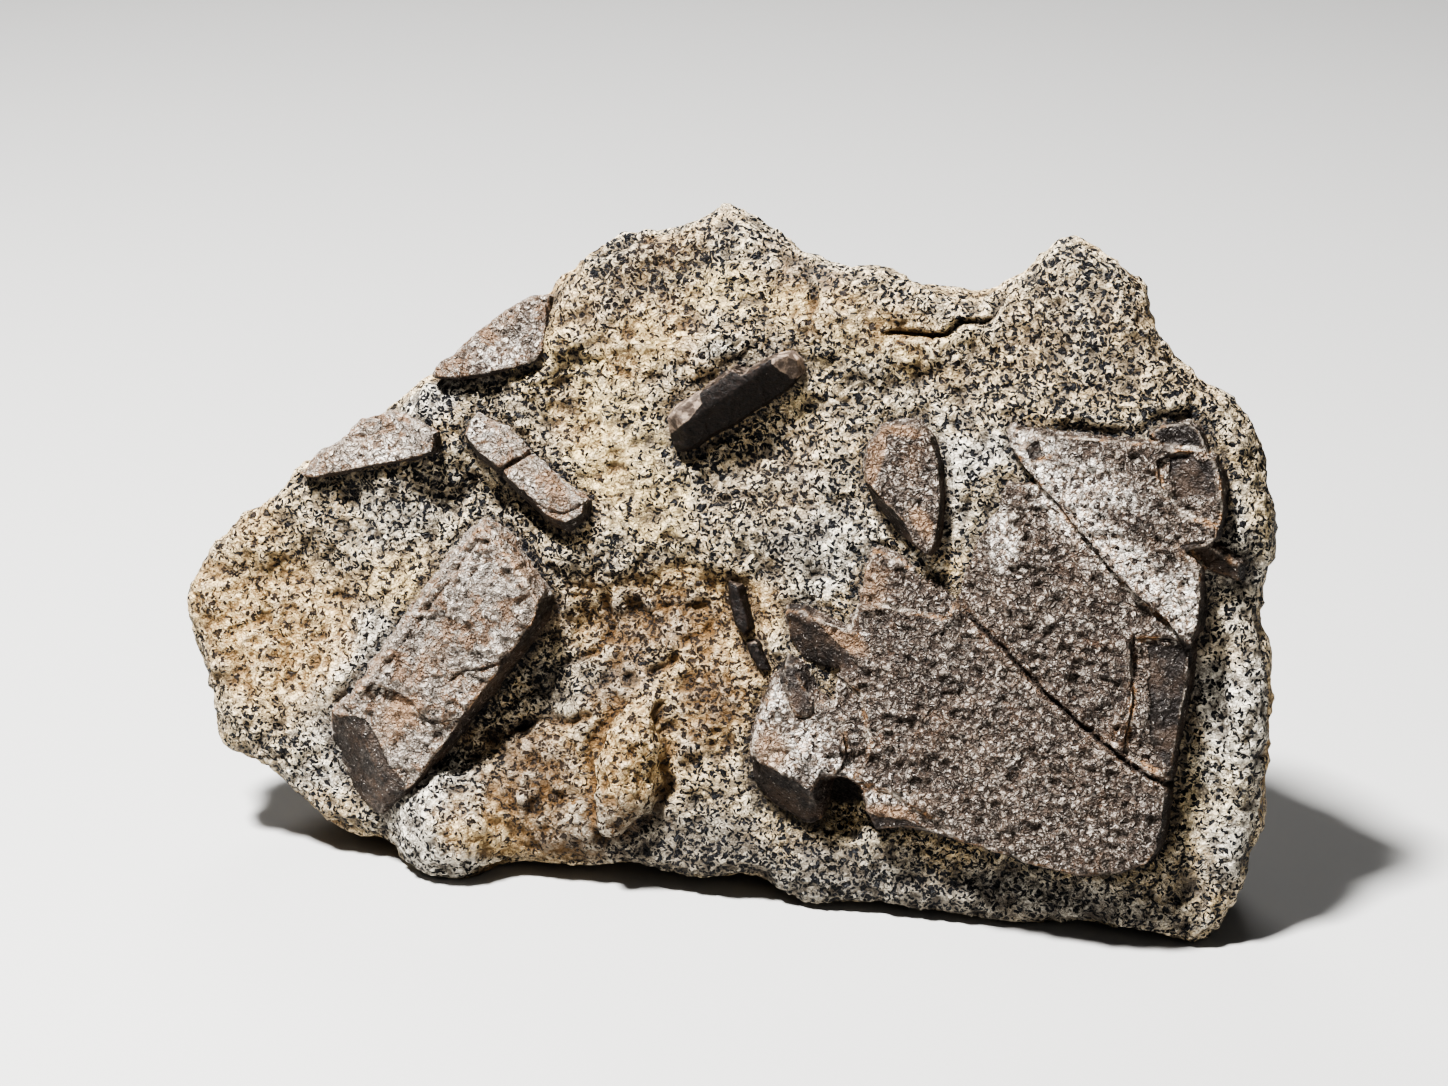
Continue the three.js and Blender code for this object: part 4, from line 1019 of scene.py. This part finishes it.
    # Rubbed edges: brown wear, and pale rubbing that is partly a painted highlight on the edges.
    rubbed_and_highlit = s.math("MULTIPLY", s.value("edge"), s.ramp(broken, 0.0, 0.9, 0.85, 0.3))
    rubbed_and_highlit = s.math("MULTIPLY", rubbed_and_highlit, s.ramp(seam, 0.2, 0.5, 1.0, 0.0))
    color = s.mix(rubbed_and_highlit, color, rub_and_highlight)

    height = s.math("ADD", s.ramp(gap, 0.0, 0.4, 0.0, 0.42),
                    s.ramp(fine_gap, 0.0, 0.22, 0.0, 0.16))
    height = s.math("ADD", height, s.math("MULTIPLY", curls, 1.4))
    smooth = s.math("SUBTRACT", 1.0, s.math("MULTIPLY", broken, 0.75))
    normal = s.bump(s.math("MULTIPLY", height, smooth), 1.0)
    normal = s.bump(s.noise(4.0, 2.0, 0.6), 0.12, normal)
    roughness = s.ramp(frost_and_highlight, 0.0, 1.0, 0.56, 0.4)
    return s.finish(color, roughness, normal, Specular_IOR_Level=0.3)


def dark_material():
    """Black crystals with pinkish rinds, brown worn edges and a few bright specks."""
    s = Shader("black_staurolite")
    fine = s.noise(1.8, 3.0, 0.65)
    body = s.mix(s.ramp(fine, 0.4, 0.65), BLACK_DARK, BLACK_LIGHT)
    torn = s.math("MULTIPLY", s.math("SUBTRACT", fine, 0.5), 0.8)
    rind = s.ramp(s.math("ADD", s.value("rind"), torn), 0.35, 0.65, 0.0, 0.9)
    pink = s.mix(s.ramp(s.noise(0.7, 3.0, 0.6), 0.42, 0.6), RIND_DARK, RIND_LIGHT)
    worn = s.math("MULTIPLY", s.value("edge"), s.ramp(s.noise(0.5), 0.5, 0.62, 0.0, 0.6))
    color = s.mix(worn, s.mix(rind, body, pink), WORN_BLACK)
    sparkle = s.ramp(s.cells(1.6).outputs["Distance"], 0.07, 0.15, 1.0, 0.0)
    sparkle = s.math("MULTIPLY", sparkle, s.ramp(fine, 0.52, 0.62, 0.0, 0.6))
    color = s.mix(sparkle, color, SPARKLE)
    normal = s.bump(s.noise(1.2, 5.0, 0.65), 0.4)
    return s.finish(color, s.ramp(fine, 0.3, 0.7, 0.34, 0.6), normal, Specular_IOR_Level=0.25)


def plain_material(name, color, roughness):
    material = bpy.data.materials.new(name)
    material.use_nodes = True
    shader = material.node_tree.nodes["Principled BSDF"]
    shader.inputs["Base Color"].default_value = (*color, 1)
    shader.inputs["Roughness"].default_value = roughness
    return material


# Stage

def make_floor():
    mesh = bpy.data.meshes.new("floor")
    reach = FLOOR_REACH
    corners = [(-reach, -reach, 0), (reach, -reach, 0), (reach, reach, 0), (-reach, reach, 0)]
    mesh.from_pydata(corners, [], [(0, 1, 2, 3)])
    floor = bpy.data.objects.new("floor", mesh)
    bpy.context.scene.collection.objects.link(floor)
    mesh.materials.append(plain_material("floor_paper", FLOOR_PAPER, FLOOR_ROUGHNESS))


def aim(thing, target):
    thing.rotation_mode = "QUATERNION"
    way = Vector(target) - thing.location
    thing.rotation_quaternion = way.to_track_quat("-Z", "Y")


def make_light(name, place, size, watts):
    data = bpy.data.lights.new(name, "AREA")
    data.size = size
    data.energy = watts
    light = bpy.data.objects.new(name, data)
    bpy.context.scene.collection.objects.link(light)
    light.location = place
    aim(light, LIGHT_TARGET)


def make_lights():
    for light in LIGHTS:
        make_light(*light)
    world = bpy.data.worlds.new("studio")
    world.use_nodes = True
    sky = world.node_tree.nodes["Background"]
    sky.inputs["Color"].default_value = (*SKY, 1)
    sky.inputs["Strength"].default_value = SKY_STRENGTH
    bpy.context.scene.world = world
    bpy.context.scene.view_settings.view_transform = "AgX"
    bpy.context.scene.view_settings.look = "AgX - High Contrast"


def make_camera():
    data = bpy.data.cameras.new("camera")
    data.lens = CAMERA_LENS
    data.sensor_width = CAMERA_SENSOR
    camera = bpy.data.objects.new("camera", data)
    bpy.context.scene.collection.objects.link(camera)
    back = Vector((math.sin(CAMERA_TURN) * math.cos(CAMERA_RISE),
                   -math.cos(CAMERA_TURN) * math.cos(CAMERA_RISE), math.sin(CAMERA_RISE)))
    target = Vector(CAMERA_TARGET) * MM
    camera.location = target + back * CAMERA_DISTANCE * MM
    aim(camera, target)
    bpy.context.scene.camera = camera


def shade_smooth(mesh):
    mesh.polygons.foreach_set("use_smooth", [True] * len(mesh.polygons))


def dress(piece, node, material):
    shade_smooth(piece.data)
    piece.data.materials.clear()
    piece.data.materials.append(material)
    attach(piece, "root")
    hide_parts(node)


make_camera()
dress(make_schist(), SCHIST, schist_material())
brown, dark = staurolite_material(), dark_material()
for crystal in CRYSTALS:
    is_dark = crystal in DARK_CRYSTALS
    dress(make_crystal(crystal), crystal, dark if is_dark else brown)
make_floor()
make_lights()
